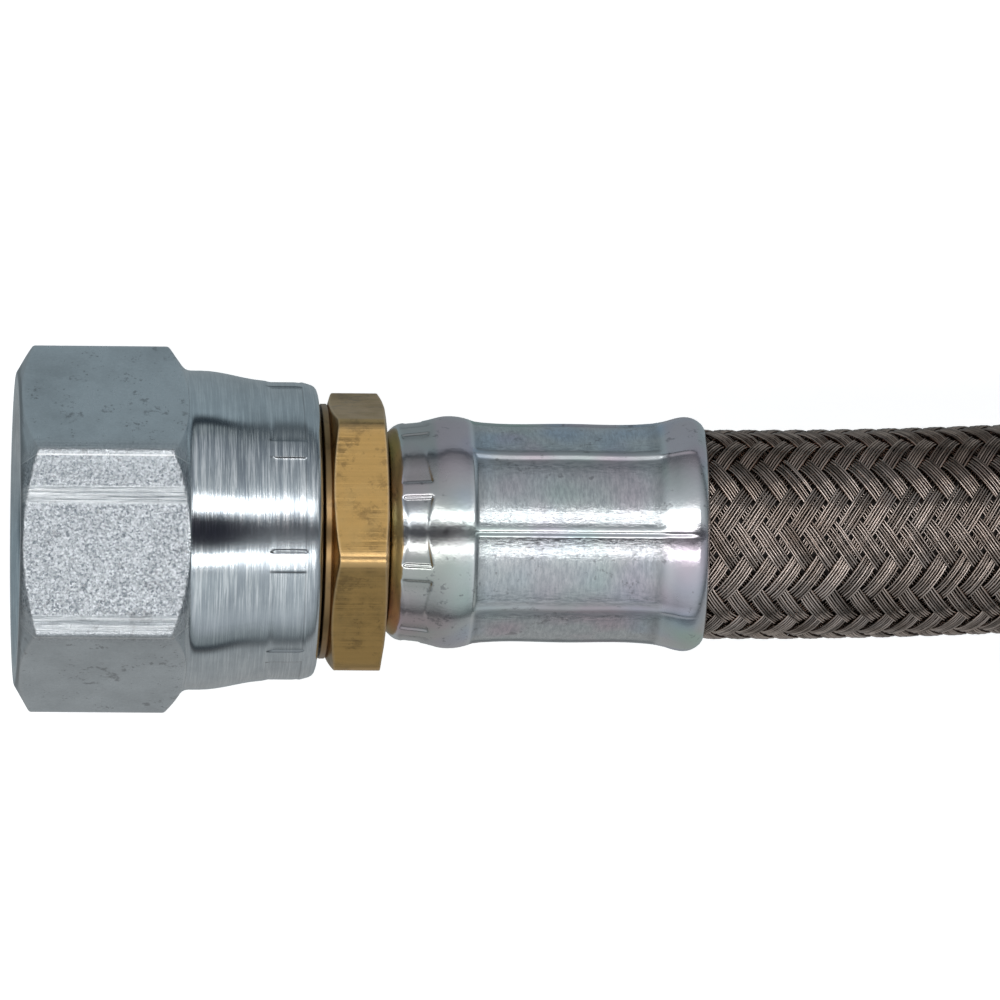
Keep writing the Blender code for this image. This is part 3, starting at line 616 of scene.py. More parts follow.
def nut_values(fitting, nut, stations, radii, angles, hexagon):
    """Values for the nut's finish, one a point: where it is flat, faces the viewer or is swaged, where the
    skirt gets painted streaky highlights and shade, and where it is darker.
    """
    size = nut.across_flats
    face = size / 2 - FACE_INSET
    in_row = np.arange(len(stations))[:, None]
    outside = in_row < len(stations) - CHAMBER_ROWS
    on_flat = (1 - smooth(nut.hex_length + 1.2 * MM, nut.hex_length + 2.0 * MM, stations)) * outside
    off_flat = (angles - HEX_PITCH / 2) % HEX_PITCH - HEX_PITCH / 2
    up_side = np.cos(angles) * -fitting.sense
    aloft = np.sin(angles)
    # painted sheen: bands on the upper side where the skirt's brush streaks get painted highlights and
    # painted shade
    worn = (window(0.08, 0.72, 0.12, aloft) + 0.55 * window(-0.42, -0.02, 0.12, aloft)) * (up_side > 0)
    off_rib = np.abs(off_nearest(angles, DIMPLE_TURN, TURN / nut.dimples)) - rib_half_angle(size)
    low, high = DIMPLE_STATIONS
    pad_end = window(high - 0.12 * MM, high + 0.05 * MM, 0.1 * MM, stations) * smooth(0.0, 0.01, off_rib)
    outline = np.maximum(window(-0.008, 0.010, 0.006, off_rib), 0.6 * pad_end)
    front = (hexagon - face) * math.tan(CHAMFER_ANGLE)
    # painted shade on the chamfer, just before the flats
    ring = 0.25 * (1 - smooth(0.0, 0.12 * MM, stations - front))
    mouth_line = smooth(face - 0.10 * MM, face - 0.04 * MM, radii) \
        * (1 - smooth(0.16 * MM, 0.34 * MM, stations))
    # darker along the marks' outlines, at the mouth's edge and on the chamfer
    soil = outline * window(low, high, 0.15 * MM, stations) + ring + mouth_line
    near_corner = np.abs(off_nearest(angles, HEX_PITCH / 2, HEX_PITCH))
    return {
        "wear": (1 - smooth(0.008, 0.03, near_corner)) * on_flat,
        "flat": on_flat,
        "across": np.tan(off_flat) * size / 2 * -fitting.sense / MM,
        "facing": smooth(0.80, 0.92, up_side),
        "bore": 1.0 * (in_row >= len(stations) - BORE_ROWS),
        "worn": worn,
        "pressed": smooth(*SKIRT_TAPER, stations) * outside,
        "soil": np.clip(soil, 0, 1) * outside,
    }


def nut_mesh(fitting, nut):
    """Nut as one closed surface: hexagon with chamfered ends, swaged skirt, chamber and thread.

    At each angle the profile's corners follow the arcs where cones meet flats. The swaging marks and the
    thread are then cut into its rows.
    """
    size = nut.across_flats
    rib = rib_half_angle(size)
    ribs = around(DIMPLE_TURN + np.arange(nut.dimples) * TURN / nut.dimples, (-rib, rib))
    angles = hexagon_angles(180, HEX_PITCH / 2, size, CORNER_ROUND, around(ribs, RIB_WALL))
    hexagon = rounded_hexagon(angles, size, CORNER_ROUND, HEX_PITCH / 2)
    stations, radii, wear = rounded_profile(nut_corners(nut, hexagon), len(angles))
    in_row = np.arange(len(stations))[:, None]
    in_thread = (in_row >= len(stations) - BORE_ROWS) & (stations < THREAD_END + 0.01 * MM) \
        & (radii < THREAD_CREST + 0.3 * MM)
    mouth_cone = MOUTH_RADIUS - (MOUTH_RADIUS - THREAD_CREST) * stations / MOUTH_DEPTH
    threaded = np.maximum(thread_radius(stations, angles, nut.thread_pitch),
                          np.minimum(mouth_cone, MOUTH_RADIUS))
    radii = np.where(in_thread, threaded, radii)
    outside = in_row < len(stations) - CHAMBER_ROWS
    radii = radii - np.where(outside, dimple_cut(stations, angles, nut), 0)
    values = nut_values(fitting, nut, stations, radii, angles, hexagon)
    values["wear"] = np.maximum(wear[:, None], values["wear"])
    return surface_mesh(f"{fitting.name}_nut_plated", seat_in_frame(fitting, stations, radii, angles), values)


# ---------------------------------------------------------------- nipple

def nipple_corners(hexagon, face, start, end):
    """Corners of the nipple's profile, as rounded_profile takes them: over the nose and the flange, along
    the neck, over the ring and the hexagon, into the lock groove, along the barbed tail, and back through
    the waterway to the seat."""
    flange = SEAT_STATION + NOSE_LENGTH
    flange_end = flange + FLANGE_LENGTH
    lock = end + GROOVE_LENGTH
    tail = lock + LOCK_LENGTH
    ring_start, ring_end, ring_radius = NUT_LENGTH + RING[0], NUT_LENGTH + RING[1], RING[2]
    first_barb = tail + (TAIL_STATION - tail - (BARB_COUNT - 1) * BARB_PITCH) / 2
    barbs = []
    for barb in range(BARB_COUNT):
        station = first_barb + barb * BARB_PITCH
        barbs.append((station, TAIL_RADIUS - BARB_HEIGHT, 0.05 * MM, 2, 0, 0.0))
        barbs.append((station, TAIL_RADIUS, 0.08 * MM, 2, 1, 0.0))
    return [
        (SEAT_STATION, SEAT_MOUTH, 0.1 * MM, 3, 1, 0.5),
        (SEAT_STATION, NOSE_RADIUS, 0.15 * MM, 3, 2, 0.5),
        (flange, NOSE_RADIUS, 0.1 * MM, 2, 1, 0.0),
        (flange, FLANGE_RADIUS, 0.3 * MM, 3, 3, 0.3),
        (flange_end, FLANGE_RADIUS, 0.2 * MM, 3, 2, 0.3),
        (flange_end + FLANGE_RADIUS - NECK_RADIUS, NECK_RADIUS, 0.4 * MM, 3, 5, 0.0),
        (ring_start, NECK_RADIUS, 0.1 * MM, 2, 1, 0.0),
        (ring_start, ring_radius, 0.12 * MM, 3, 1, 0.3),
        (ring_end, ring_radius, 0.06 * MM, 3, 0, 0.0),
        (ring_end, ring_radius - RING_STEP, 0.03 * MM, 2, 0, 0.0),
        (start, ring_radius - RING_STEP, 0.02 * MM, 2, 0, 0.0),
        (start, face, 0.10 * MM, 4, 2, 0.3),
        (start + (hexagon - face) * math.tan(COLLAR_NUT_SIDE_ANGLE), hexagon, 0.15 * MM, 4, 9, 0.7),
        (end - (hexagon - face) * math.tan(COLLAR_HOSE_SIDE_ANGLE), hexagon, 0.12 * MM, 4, 2, 1.0),
        (end, face, 0.12 * MM, 4, 3, 0.6),
        (end, GROOVE_RADIUS, 0.15 * MM, 2, 3, 0.0),
        (lock, GROOVE_RADIUS, 0.1 * MM, 2, 1, 0.0),
        (lock, LOCK_RADIUS, 0.1 * MM, 2, 1, 0.0),
        (tail, LOCK_RADIUS, 0.1 * MM, 2, 1, 0.0),
        (tail, TAIL_RADIUS - BARB_HEIGHT, 0.1 * MM, 2, 1, 0.0),
        *barbs,
        (TAIL_STATION, TAIL_RADIUS - BARB_HEIGHT, 0.3 * MM, 3, 0, 0.0),
        (TAIL_STATION, WATERWAY_RADIUS, 0.1 * MM, 2, 8, 0.0),
        (SEAT_STATION + (SEAT_MOUTH - WATERWAY_RADIUS) / math.tan(SEAT_ANGLE), WATERWAY_RADIUS,
         0.3 * MM, 4, 4, 0.0),
    ]


def nipple_mesh(fitting, nipple):
    """Nipple as one closed surface: seat, flange, neck, hexagon, lock groove, barbed tail and waterway."""
    size = nipple.across_flats
    angles = hexagon_angles(144, COLLAR_TURN, size, COLLAR_ROUND)
    hexagon = rounded_hexagon(angles, size, COLLAR_ROUND, COLLAR_TURN)
    face = size / 2 - COLLAR_FACE_INSET
    start = NUT_LENGTH + COLLAR_GAP
    end = FERRULE_STATION - COLLAR_END_GAP
    stations, radii, wear = rounded_profile(nipple_corners(hexagon, face, start, end), len(angles))
    on_hexagon = window(start + 0.1 * MM, end - 0.05 * MM, 0.1 * MM, stations) * (radii > face)
    near_corner = np.abs(off_nearest(angles, COLLAR_TURN, HEX_PITCH))
    corner_wear = 0.35 * (1 - smooth(0.02, 0.09, near_corner)) * on_hexagon
    flange_end = SEAT_STATION + NOSE_LENGTH + FLANGE_LENGTH
    # painted shade on the neck, from behind the flange to the hexagon
    soil = window(flange_end, start + 0.06 * MM, 0.06 * MM, stations) * (radii > WATERWAY_RADIUS + 1.0 * MM)
    return surface_mesh(
        f"{fitting.name}_nipple_brass", seat_in_frame(fitting, stations, radii, angles),
        {"wear": np.maximum(wear[:, None], corner_wear), "flat": on_hexagon, "soil": soil})


# ---------------------------------------------------------------- ferrule

def ferrule_radius(own, angles, dies, land_depth):
    """Outer radius of the crimped ferrule at stations from its own start.

    It is the outline along the ridges, less what the dies pressed in. Each land lies between two ridges and
    is pressed in by its depth, a little more in its middle, with a crisp step at its front. Each collar mark
    has the form of a bow tie: deep at both ends and shallow at the waist, where it is also narrower.
    """
    knots, outline = np.array(FERRULE_OUTLINE).T * MM
    outline = spline(knots, outline, own.ravel()).reshape(own.shape)
    pitch = TURN / dies
    from_ridge = off_nearest(angles, FERRULE_TURN, pitch)
    off_ridge = np.abs(from_ridge)
    groove = smooth(0.0, np.where(from_ridge < 0, *RIDGE_SIDES), off_ridge * outline)
    middle = 1 + 0.3 * smooth(0.1, pitch / 2, off_ridge)
    front = smooth(LANDS[0] - 0.35 * MM, LANDS[0] + 0.15 * MM, own)
    rear = 1 - smooth(LANDS[1] - 0.5 * MM, LANDS[1] + 0.7 * MM, own)
    lands = land_depth * groove * middle * front * rear
    crease = CREASE_DEPTH * groove * window(LANDS[1], 30.0 * MM, 1.2 * MM, own)
    swell = BULGE_SWELL * np.cos(dies * (angles - FERRULE_TURN)) * window(5.0 * MM, 8.2 * MM, 2.0 * MM, own)
    end_share = np.clip(off_ridge / COLLAR_DIMPLE_HALF_ANGLE, 0, 1.2)
    waist = COLLAR_DIMPLE_WAIST * (1 - np.clip(end_share, 0, 1)**1.5)
    low, high = COLLAR_DIMPLES
    pressed = smooth(low + waist - 0.16 * MM, low + waist + 0.20 * MM, own) \
        * (1 - smooth(high - waist - 0.20 * MM, high - waist + 0.16 * MM, own))
    depth = COLLAR_DIMPLE_DEPTHS[0] + COLLAR_DIMPLE_DEPTHS[1] * end_share**2
    mark = depth * (1 - smooth(0.94, 1.08, end_share)) * pressed
    return outline - lands - crease + swell - mark


def ferrule_bore():
    """Stations and radii of the ferrule's inside, from its mouth back to its collar."""
    taper = FERRULE_LENGTH - NECK_END - COLLAR_END_GAP
    step = 0.05 * MM
    return np.array((
        (FERRULE_LENGTH - 0.02 * MM, MOUTH_BORE + step), (FERRULE_LENGTH - 0.15 * MM, MOUTH_BORE),
        (taper, MOUTH_BORE), (taper - 1.5 * MM, (MOUTH_BORE + CRIMPED_BORE) / 2),
        (taper - 2.9 * MM, CRIMPED_BORE), (FERRULE_LENGTH / 2, CRIMPED_BORE),
        (FERRULE_COLLAR_LENGTH + step, CRIMPED_BORE), (FERRULE_COLLAR_LENGTH, CRIMPED_BORE - step),
        (FERRULE_COLLAR_LENGTH, FERRULE_COLLAR_BORE + step),
        (FERRULE_COLLAR_LENGTH - step, FERRULE_COLLAR_BORE), (0.3 * MM, FERRULE_COLLAR_BORE),
        (0.0, FERRULE_COLLAR_BORE + 0.3 * MM))).T


def ferrule_values(stations, angles, pitch, outside):
    """Values for the ferrule's finish, one a point: lands, ridges with painted shade on the sides, darker
    creases, collar and the tinted sides.
    """
    off_ridge = np.abs(off_nearest(angles, FERRULE_TURN, pitch))
    off_foot = smooth(0.03, 0.08, off_ridge)
    on_land = window(*LANDS, 0.8 * MM, stations)
    on_ridge = window(*LANDS, 0.6 * MM, stations)
    ridge = (1 - smooth(0.0, 0.03, off_ridge)) * on_ridge
    front_edge = window(LANDS[0] - 0.5 * MM, LANDS[0] - 0.1 * MM, 0.3 * MM, stations) \
        * smooth(0.04, 0.07, off_ridge)
    lip = smooth(FERRULE_LENGTH - 0.5 * MM, FERRULE_LENGTH - 0.1 * MM, stations)
    foot = window(0.045, 0.085, 0.03, off_ridge) * on_land
    ends = window(LANDS[0] - 0.1 * MM, LANDS[0] + 0.5 * MM, 0.4 * MM, stations) \
        + window(LANDS[1] - 0.7 * MM, LANDS[1] + 0.1 * MM, 0.6 * MM, stations)
    marked = window(*COLLAR_DIMPLES, 0.5 * MM, stations) \
        * window(0.72, 1.02, 0.15, off_ridge / COLLAR_DIMPLE_HALF_ANGLE)
    collar = smooth(0.8 * MM, 1.5 * MM, stations) * (1 - smooth(4.2 * MM, 8.4 * MM, stations))
    up_side = np.abs(np.cos(angles))
    off_lands = window(4.6 * MM, LANDS[0] - 0.3 * MM, 0.8 * MM, stations) \
        + 0.8 * window(LANDS[1] + 0.6 * MM, FERRULE_LENGTH - 0.8 * MM, 0.9 * MM, stations)
    rose = off_lands * (smooth(0.35, 0.75, np.sin(angles)) + 0.4 * smooth(0.75, 0.95, -np.sin(angles)))
    # rougher ridges on the sides, with painted shade over them
    dulled = window(-0.09, 0.09, 0.03, off_ridge) * on_ridge * (1 - smooth(0.86, 0.95, up_side))
    return {
        "wear": np.maximum(np.maximum(0.25 * ridge, 0.7 * front_edge), 0.6 * lip) * outside,
        "flat": on_land * off_foot * outside,
        "beside": np.minimum(off_ridge / (pitch / 2), 1.0),
        "aside": 1 - smooth(0.45, 0.85, up_side),
        "dulled": dulled * outside,
        "rose": rose * outside,
        "collar": collar * outside,
        # darker at the ridges' feet, at the lands' ends and round the collar marks
        "soil": np.clip(np.maximum(foot, ends * off_foot) + marked, 0, 1) * outside,
    }


def ferrule_mesh(fitting, ferrule):
    """Ferrule as one closed surface: crimped outside, rolled lip, and a stepped bore inside."""
    pitch = TURN / ferrule.dies
    ridges = FERRULE_TURN + np.arange(ferrule.dies) * pitch
    mark_ends = COLLAR_DIMPLE_HALF_ANGLE * np.array([0.92, 0.96, 1.0, 1.04, 1.08])
    angles = ring_angles(184, around(ridges, RIDGE_OFFSETS), around(ridges, mark_ends),
                         around(ridges, -mark_ends))
    own = np.unique(np.round(np.concatenate([np.linspace(*span) for span in FERRULE_SPANS]), 3)) * MM
    outer = ferrule_radius(np.broadcast_to(own[:, None], (len(own), len(angles))), angles,
                           ferrule.dies, ferrule.land_depth)
    bore_stations, bore_radii = ferrule_bore()
    radii = np.concatenate((outer, np.repeat(bore_radii[:, None], len(angles), axis=1)))
    stations = np.broadcast_to(np.concatenate((own, bore_stations))[:, None], radii.shape)
    outside = np.arange(len(stations))[:, None] < len(own)
    return surface_mesh(
        f"{fitting.name}_ferrule_crimped", seat_in_frame(fitting, FERRULE_STATION + stations, radii, angles),
        ferrule_values(stations, angles, pitch, outside))


# ---------------------------------------------------------------- hose

def hose_line(spacing):
    """Centre line of the whole hose at even steps, from inside one ferrule to inside the other.

    The free stretch is the cubic spline through the route whose bend is continuous, leaving and arriving
    along the fittings; the stretches in the ferrules are straight. Returns points and lengths along it.
    """
    knots = np.array([(FITTING_LENGTH + NEAR_NUT_LOW.x + run, side,
                       AXIS_HEIGHT - down * (AXIS_HEIGHT - LIE_HEIGHT)) for run, side, down in HOSE_ROUTE])
    along = np.concatenate(([0.0], np.cumsum(np.linalg.norm(np.diff(knots, axis=0), axis=1))))
    gaps = np.diff(along)
    count = len(knots)
    system = np.eye(count)
    right = np.zeros((count, 3))
    right[0] = right[-1] = (1.0, 0.0, 0.0)
    for row in range(1, count - 1):
        before, after = gaps[row - 1], gaps[row]
        system[row, row - 1:row + 2] = (after, 2 * (before + after), before)
        right[row] = 3 * (after * (knots[row] - knots[row - 1]) / before
                          + before * (knots[row + 1] - knots[row]) / after)
    slopes = np.linalg.solve(system, right)
    free = hermite(along, knots, slopes, np.linspace(0.0, along[-1], 2000))
    depth = FITTING_LENGTH - HOSE_STATION
    line = np.concatenate((free[:1] - (depth, 0.0, 0.0), free, free[-1:] + (depth, 0.0, 0.0)))
    walked = np.concatenate(([0.0], np.cumsum(np.linalg.norm(np.diff(line, axis=0), axis=1))))
    even = np.linspace(0.0, walked[-1], round(walked[-1] / spacing) + 1)
    return np.stack([np.interp(even, walked, line[:, axis]) for axis in range(3)], axis=-1), even


def line_frames(points):
    """Unit vectors at each point of a line: along it, up from it, and to its left-hand side.

    Up is world Z less its part along the line, and the side is up x along.
    """
    along = np.gradient(points, axis=0)
    along /= np.linalg.norm(along, axis=1, keepdims=True)
    up = np.array((0.0, 0.0, 1.0)) - along * along[:, 2:]
    up /= np.linalg.norm(up, axis=1, keepdims=True)
    return along, up, np.cross(up, along)


def necked(walked, crimped, full):
    """Radius of a hose layer: crimped inside the ferrules, eased up to full before each mouth."""
    inside = FITTING_LENGTH - HOSE_STATION
    from_mouth = np.maximum(inside - walked, walked - (walked[-1] - inside))
    return full + (crimped - full) * smooth(NECK_END, NECK_START, from_mouth)


def liner_mesh(walked, points):
    """Liner as one closed tube: outer rings one way along the line and bore rings back."""
    angles = np.arange(LINER_SIDES) * TURN / LINER_SIDES
    _, up, side = line_frames(points)
    outer = necked(walked, CRIMPED_LINER_RADIUS, LINER_RADIUS)
    bore = necked(walked, CRIMPED_LINER_BORE, LINER_BORE)
    order = np.concatenate((np.arange(len(points)), np.arange(len(points))[::-1]))
    radii = np.concatenate((outer, bore[::-1]))[:, None, None]
    spokes = up[order][:, None] * -np.cos(angles)[None, :, None] \
        + side[order][:, None] * np.sin(angles)[None, :, None]
    return surface_mesh("hose_liner_tube", points[order][:, None] + radii * spokes)


def band_phase(hand, band, wire_share, walked, hose):
    """Angle of each wire, and how far it is through the two-over, two-under pattern.

    A band of one hand keeps (angle - hand * turn * length / lead) / pitch equal to its number. The number of
    the crossing band at the same place is (angle + hand * turn * length / lead) / pitch. Their sum, less
    the wire's share of its band, counts the crossings, four to a repeat.
    """
    pitch = TURN / hose.carriers
    twist = hand * TURN * walked / hose.lead
    angle = BRAID_TURN + pitch * (band + wire_share)[:, None] + twist[None, :]
    crossing = band[:, None] + (angle - BRAID_TURN + twist) / pitch
    return angle, crossing if hand > 0 else crossing + 2.0


def wave_height(crossing):
    """Height of a band, from -1 under to 1 over: a cosine of the crossing count, with flattened tops."""
    cosine = np.cos(math.pi / 2 * (crossing - 0.5))
    return 0.8 * np.tanh(2.2 * cosine) / math.tanh(2.2) + 0.2 * cosine


def wire_centres(hand, bands, points, walked, hose, chance):
    """Centre lines of some bands' wires, and the unit vector out from the hose at each of their points.

    A wire's centre lies at the braid's middle radius plus the wave's height, at the band's angle, in the
    frame of the hose's line. Each wire stands a little off its place, wanders and lifts by chance, and the
    middle wires of a band that crosses over crown a little above the outer ones.
    """
    wires = hose.wires
    band = np.repeat(np.asarray(bands, float), wires)
    place = np.tile(np.arange(wires) - (wires - 1) / 2, len(bands))
    share = WIRE_STEP * place + chance.normal(0.0, WIRE_SCATTER, len(band))
    angle, crossing = band_phase(hand, band, share, walked, hose)
    wander = chance.normal(0.0, WIRE_WANDER, (len(band), len(walked) // WANDER_STEPS + 2))
    steps = np.arange(len(walked)) / WANDER_STEPS
    angle = angle + np.array([np.interp(steps, np.arange(len(row)), row) for row in wander])
    crown = WIRE_CROWN * (1 - (place / (wires / 2))**2)[:, None]
    lift = chance.normal(0.0, WIRE_LIFT, len(band))[:, None]
    height = wave_height(crossing)
    radius = necked(walked, CRIMPED_BRAID_MIDDLE, BRAID_MIDDLE)[None, :] \
        + BRAID_WAVE * height + crown * np.maximum(height, 0) + np.clip(lift, -2 * WIRE_LIFT, 2 * WIRE_LIFT)
    _, up, side = line_frames(points)
    spoke = up[None] * np.cos(angle)[..., None] + side[None] * np.sin(angle)[..., None]
    return points[None] + radius[..., None] * spoke, spoke


def braid_mesh(name, hand, bands, points, walked, hose, chance):
    """Wires of some bands that wind one way, as closed four-sided tubes in one mesh.

    Each ring of a tube has its corners out from the hose, aside, in and aside, in the frame of its centre
    line: along it, out less its part along, and the cross product of the two.
    """
    centre, spoke = wire_centres(hand, bands, points, walked, hose, chance)
    along = np.gradient(centre, axis=1)
    along /= np.linalg.norm(along, axis=2, keepdims=True)
    out = spoke - along * np.sum(spoke * along, axis=2, keepdims=True)
    out /= np.linalg.norm(out, axis=2, keepdims=True)
    aside = np.cross(along, out)
    corner = np.arange(WIRE_SIDES) * TURN / WIRE_SIDES
    rings = centre[:, :, None] + WIRE_CORNER * (hose.wire_diameter / 2) * (
        out[:, :, None] * np.cos(corner)[:, None] + aside[:, :, None] * np.sin(corner)[:, None])
    count, steps = rings.shape[:2]
    index = np.arange(count * steps * WIRE_SIDES).reshape(count, steps, WIRE_SIDES)
    beside = np.roll(index, -1, axis=2)
    quads = np.stack((index[:, :-1], beside[:, :-1], beside[:, 1:], index[:, 1:]), axis=-1).reshape(-1, 4)
    caps = np.concatenate((index[:, 0, ::-1], index[:, -1]))
    mesh = new_mesh(name, rings.reshape(-1, 3), np.concatenate((quads, caps)))
    tone = chance.uniform(0.0, 1.0, count)[:, None, None]
    # painted shade: darker and warmer on the hose's +Y side
    warm = smooth(0.50, 0.92, spoke[..., 1])[..., None]
    add_attributes(mesh, {"tone": tone, "warm": warm}, index.shape)
    return mesh


# ---------------------------------------------------------------- finishes

def add_node(tree, kind, inputs=None, **settings):
    """Add a node, set its properties, and give each named input a value or a link from an output."""
    node = tree.nodes.new(kind)
    for title, value in settings.items():
        setattr(node, title, value)
    for title, value in (inputs or {}).items():
        if isinstance(value, bpy.types.NodeSocket):
            tree.links.new(value, node.inputs[title])
        else:
            node.inputs[title].default_value = value
    return node


def maths(tree, operation, first, second=None, third=None, clamp=False):
    """Output of a Math node."""
    node = add_node(tree, "ShaderNodeMath", operation=operation, use_clamp=clamp)
    for socket, value in zip(node.inputs, (first, second, third)):
        if isinstance(value, bpy.types.NodeSocket):
            tree.links.new(value, socket)
        elif value is not None:
            socket.default_value = value
    return node.outputs[0]


def product(tree, first, *others):
    """Output of a chain of Math nodes that multiplies values together."""
    for value in others:
        first = maths(tree, "MULTIPLY", first, value)
    return first


def mix_colour(tree, share, first, second, blend="MIX"):
    """Output of a Mix node for colours."""
    node = add_node(tree, "ShaderNodeMix", data_type="RGBA", blend_type=blend)
    for socket, value in zip((node.inputs[0], node.inputs[6], node.inputs[7]), (share, first, second)):
        if isinstance(value, bpy.types.NodeSocket):
            tree.links.new(value, socket)
        elif isinstance(value, (int, float)):
            socket.default_value = value
        else:
            socket.default_value = (*value[:3], 1.0)
    return node.outputs[2]


def piece_values(tree, *titles):
    """Values of some of the piece's own attributes."""
    return [add_node(tree, "ShaderNodeAttribute", attribute_name=title).outputs["Fac"] for title in titles]


def object_place(tree):
    """The piece's own coordinates."""
    return add_node(tree, "ShaderNodeTexCoord").outputs["Object"]


def band_mask(tree, value, middle, half_width):
    """1 in a band about a middle value, fading out over its last third."""
    off = maths(tree, "ABSOLUTE", maths(tree, "SUBTRACT", value, middle))
    return maths(tree, "DIVIDE", maths(tree, "SUBTRACT", half_width, off), half_width / 3, clamp=True)


def rise_above(tree, value, start, gain):
    """0 up to a start, and a gain times what the value is past it, up to 1."""
    return maths(tree, "MULTIPLY", maths(tree, "SUBTRACT", value, start, clamp=True), gain, clamp=True)


def rise_below(tree, value, start, gain):
    """0 down to a start, and a gain times what the value is short of it, up to 1."""
    return maths(tree, "MULTIPLY", maths(tree, "SUBTRACT", start, value, clamp=True), gain, clamp=True)


def layered(tree, shade, layers):
    """Lay colours over a shade in order: each is (mask, strength where the mask is 1, colour)."""
    for mask, strength, colour in layers:
        shade = mix_colour(tree, maths(tree, "MULTIPLY", mask, strength), shade, colour)
    return shade


def scaled(colour, factor):
    """A colour made darker or lighter by a factor, with no part above 1."""
    return [min(1.0, part * factor) for part in colour]


def new_group(name, inputs, outputs):
    """Start a node group with named inputs and outputs; return it with its input and output nodes."""
    group = bpy.data.node_groups.new(name, "ShaderNodeTree")
    for title, kind, value in inputs:
        socket = group.interface.new_socket(name=title, in_out="INPUT", socket_type=kind)
        if value is not None:
            socket.default_value = value
    for title, kind in outputs:
        group.interface.new_socket(name=title, in_out="OUTPUT", socket_type=kind)
    return group, group.nodes.new("NodeGroupInput"), group.nodes.new("NodeGroupOutput")


def use_group(tree, name, **inputs):
    """Place a finished node group in a material's tree with its own values."""
    node = tree.nodes.new("ShaderNodeGroup")
    node.node_tree = bpy.data.node_groups[name]
    for title, value in inputs.items():
        socket = node.inputs[title.replace("_", " ")]
        if isinstance(value, bpy.types.NodeSocket):
            tree.links.new(value, socket)
        else:
            socket.default_value = value
    return node.outputs


def build_grain():
    """Blasted grain: two sizes of noise added, as a height about 0.5."""
    group, start, end = new_group(
        "plating grain", [("Place", "NodeSocketVector", None), ("Scale", "NodeSocketFloat", 4000.0)],
        [("Height", "NodeSocketFloat")])
    fine = add_node(group, "ShaderNodeTexNoise", {
        "Vector": start.outputs["Place"], "Scale": start.outputs["Scale"], "Detail": 2.0, "Roughness": 0.6})
    coarse = add_node(group, "ShaderNodeTexVoronoi", {
        "Vector": start.outputs["Place"], "Scale": maths(group, "MULTIPLY", start.outputs["Scale"], 0.7)})
    total = maths(group, "MULTIPLY_ADD", coarse.outputs["Distance"], 0.45, fine.outputs["Fac"])
    group.links.new(total, end.inputs["Height"])


def build_speckle():
    """Blasted metal: small cells, each at its own random height, broken up by fine noise."""
    group, start, end = new_group(
        "blasted speckle", [("Place", "NodeSocketVector", None), ("Scale", "NodeSocketFloat", 5600.0)],
        [("Height", "NodeSocketFloat")])
    cells = add_node(group, "ShaderNodeTexVoronoi", {
        "Vector": start.outputs["Place"], "Scale": start.outputs["Scale"]})
    cell = add_node(group, "ShaderNodeSeparateColor", {"Color": cells.outputs["Color"]}).outputs["Red"]
    noise = add_node(group, "ShaderNodeTexNoise", {
        "Vector": start.outputs["Place"], "Scale": maths(group, "MULTIPLY", start.outputs["Scale"], 0.6),
        "Detail": 2.0}).outputs["Fac"]
    noise = maths(group, "MULTIPLY_ADD", maths(group, "SUBTRACT", noise, 0.5), 2.2, 0.5, clamp=True)
    total = maths(group, "MULTIPLY_ADD", cell, 0.55, maths(group, "MULTIPLY", noise, 0.45))
    group.links.new(total, end.inputs["Height"])


def build_streaks():
    """Brush marks: noise of coordinates that are stretched by a vector, sharpened to fine lines."""
    group, start, end = new_group(
        "brush streaks", [("Place", "NodeSocketVector", None), ("Stretch", "NodeSocketVector", None),
                          ("Contrast", "NodeSocketFloat", 2.0)],
        [("Height", "NodeSocketFloat")])
    stretched = add_node(group, "ShaderNodeVectorMath", {
        0: start.outputs["Place"], 1: start.outputs["Stretch"]}, operation="MULTIPLY")
    noise = add_node(group, "ShaderNodeTexNoise", {
        "Vector": stretched.outputs["Vector"], "Scale": 1.0, "Detail": 4.0, "Roughness": 0.65})
    centred = maths(group, "SUBTRACT", noise.outputs["Fac"], 0.5)
    height = maths(group, "MULTIPLY_ADD", centred, start.outputs["Contrast"], 0.5, clamp=True)
    group.links.new(height, end.inputs["Height"])


def build_stains():
    """Stains and scuffs: a soft cloud gates a finer noise, so marks gather in places."""
    group, start, end = new_group(
        "stains", [("Place", "NodeSocketVector", None), ("Scale", "NodeSocketFloat", 300.0),
                   ("Threshold", "NodeSocketFloat", 0.6), ("Softness", "NodeSocketFloat", 0.1)],
        [("Mask", "NodeSocketFloat")])
    cloud = add_node(group, "ShaderNodeTexNoise", {
        "Vector": start.outputs["Place"], "Scale": maths(group, "MULTIPLY", start.outputs["Scale"], 0.22),
        "Detail": 2.0})
    marks = add_node(group, "ShaderNodeTexNoise", {
        "Vector": start.outputs["Place"], "Scale": start.outputs["Scale"], "Detail": 5.0, "Roughness": 0.65})
    both = maths(group, "MULTIPLY_ADD", cloud.outputs["Fac"], 0.5,
                 maths(group, "MULTIPLY", marks.outputs["Fac"], 0.7))
    mask = maths(group, "DIVIDE", maths(group, "SUBTRACT", both, start.outputs["Threshold"]),
                 start.outputs["Softness"], clamp=True)
    group.links.new(mask, end.inputs["Mask"])


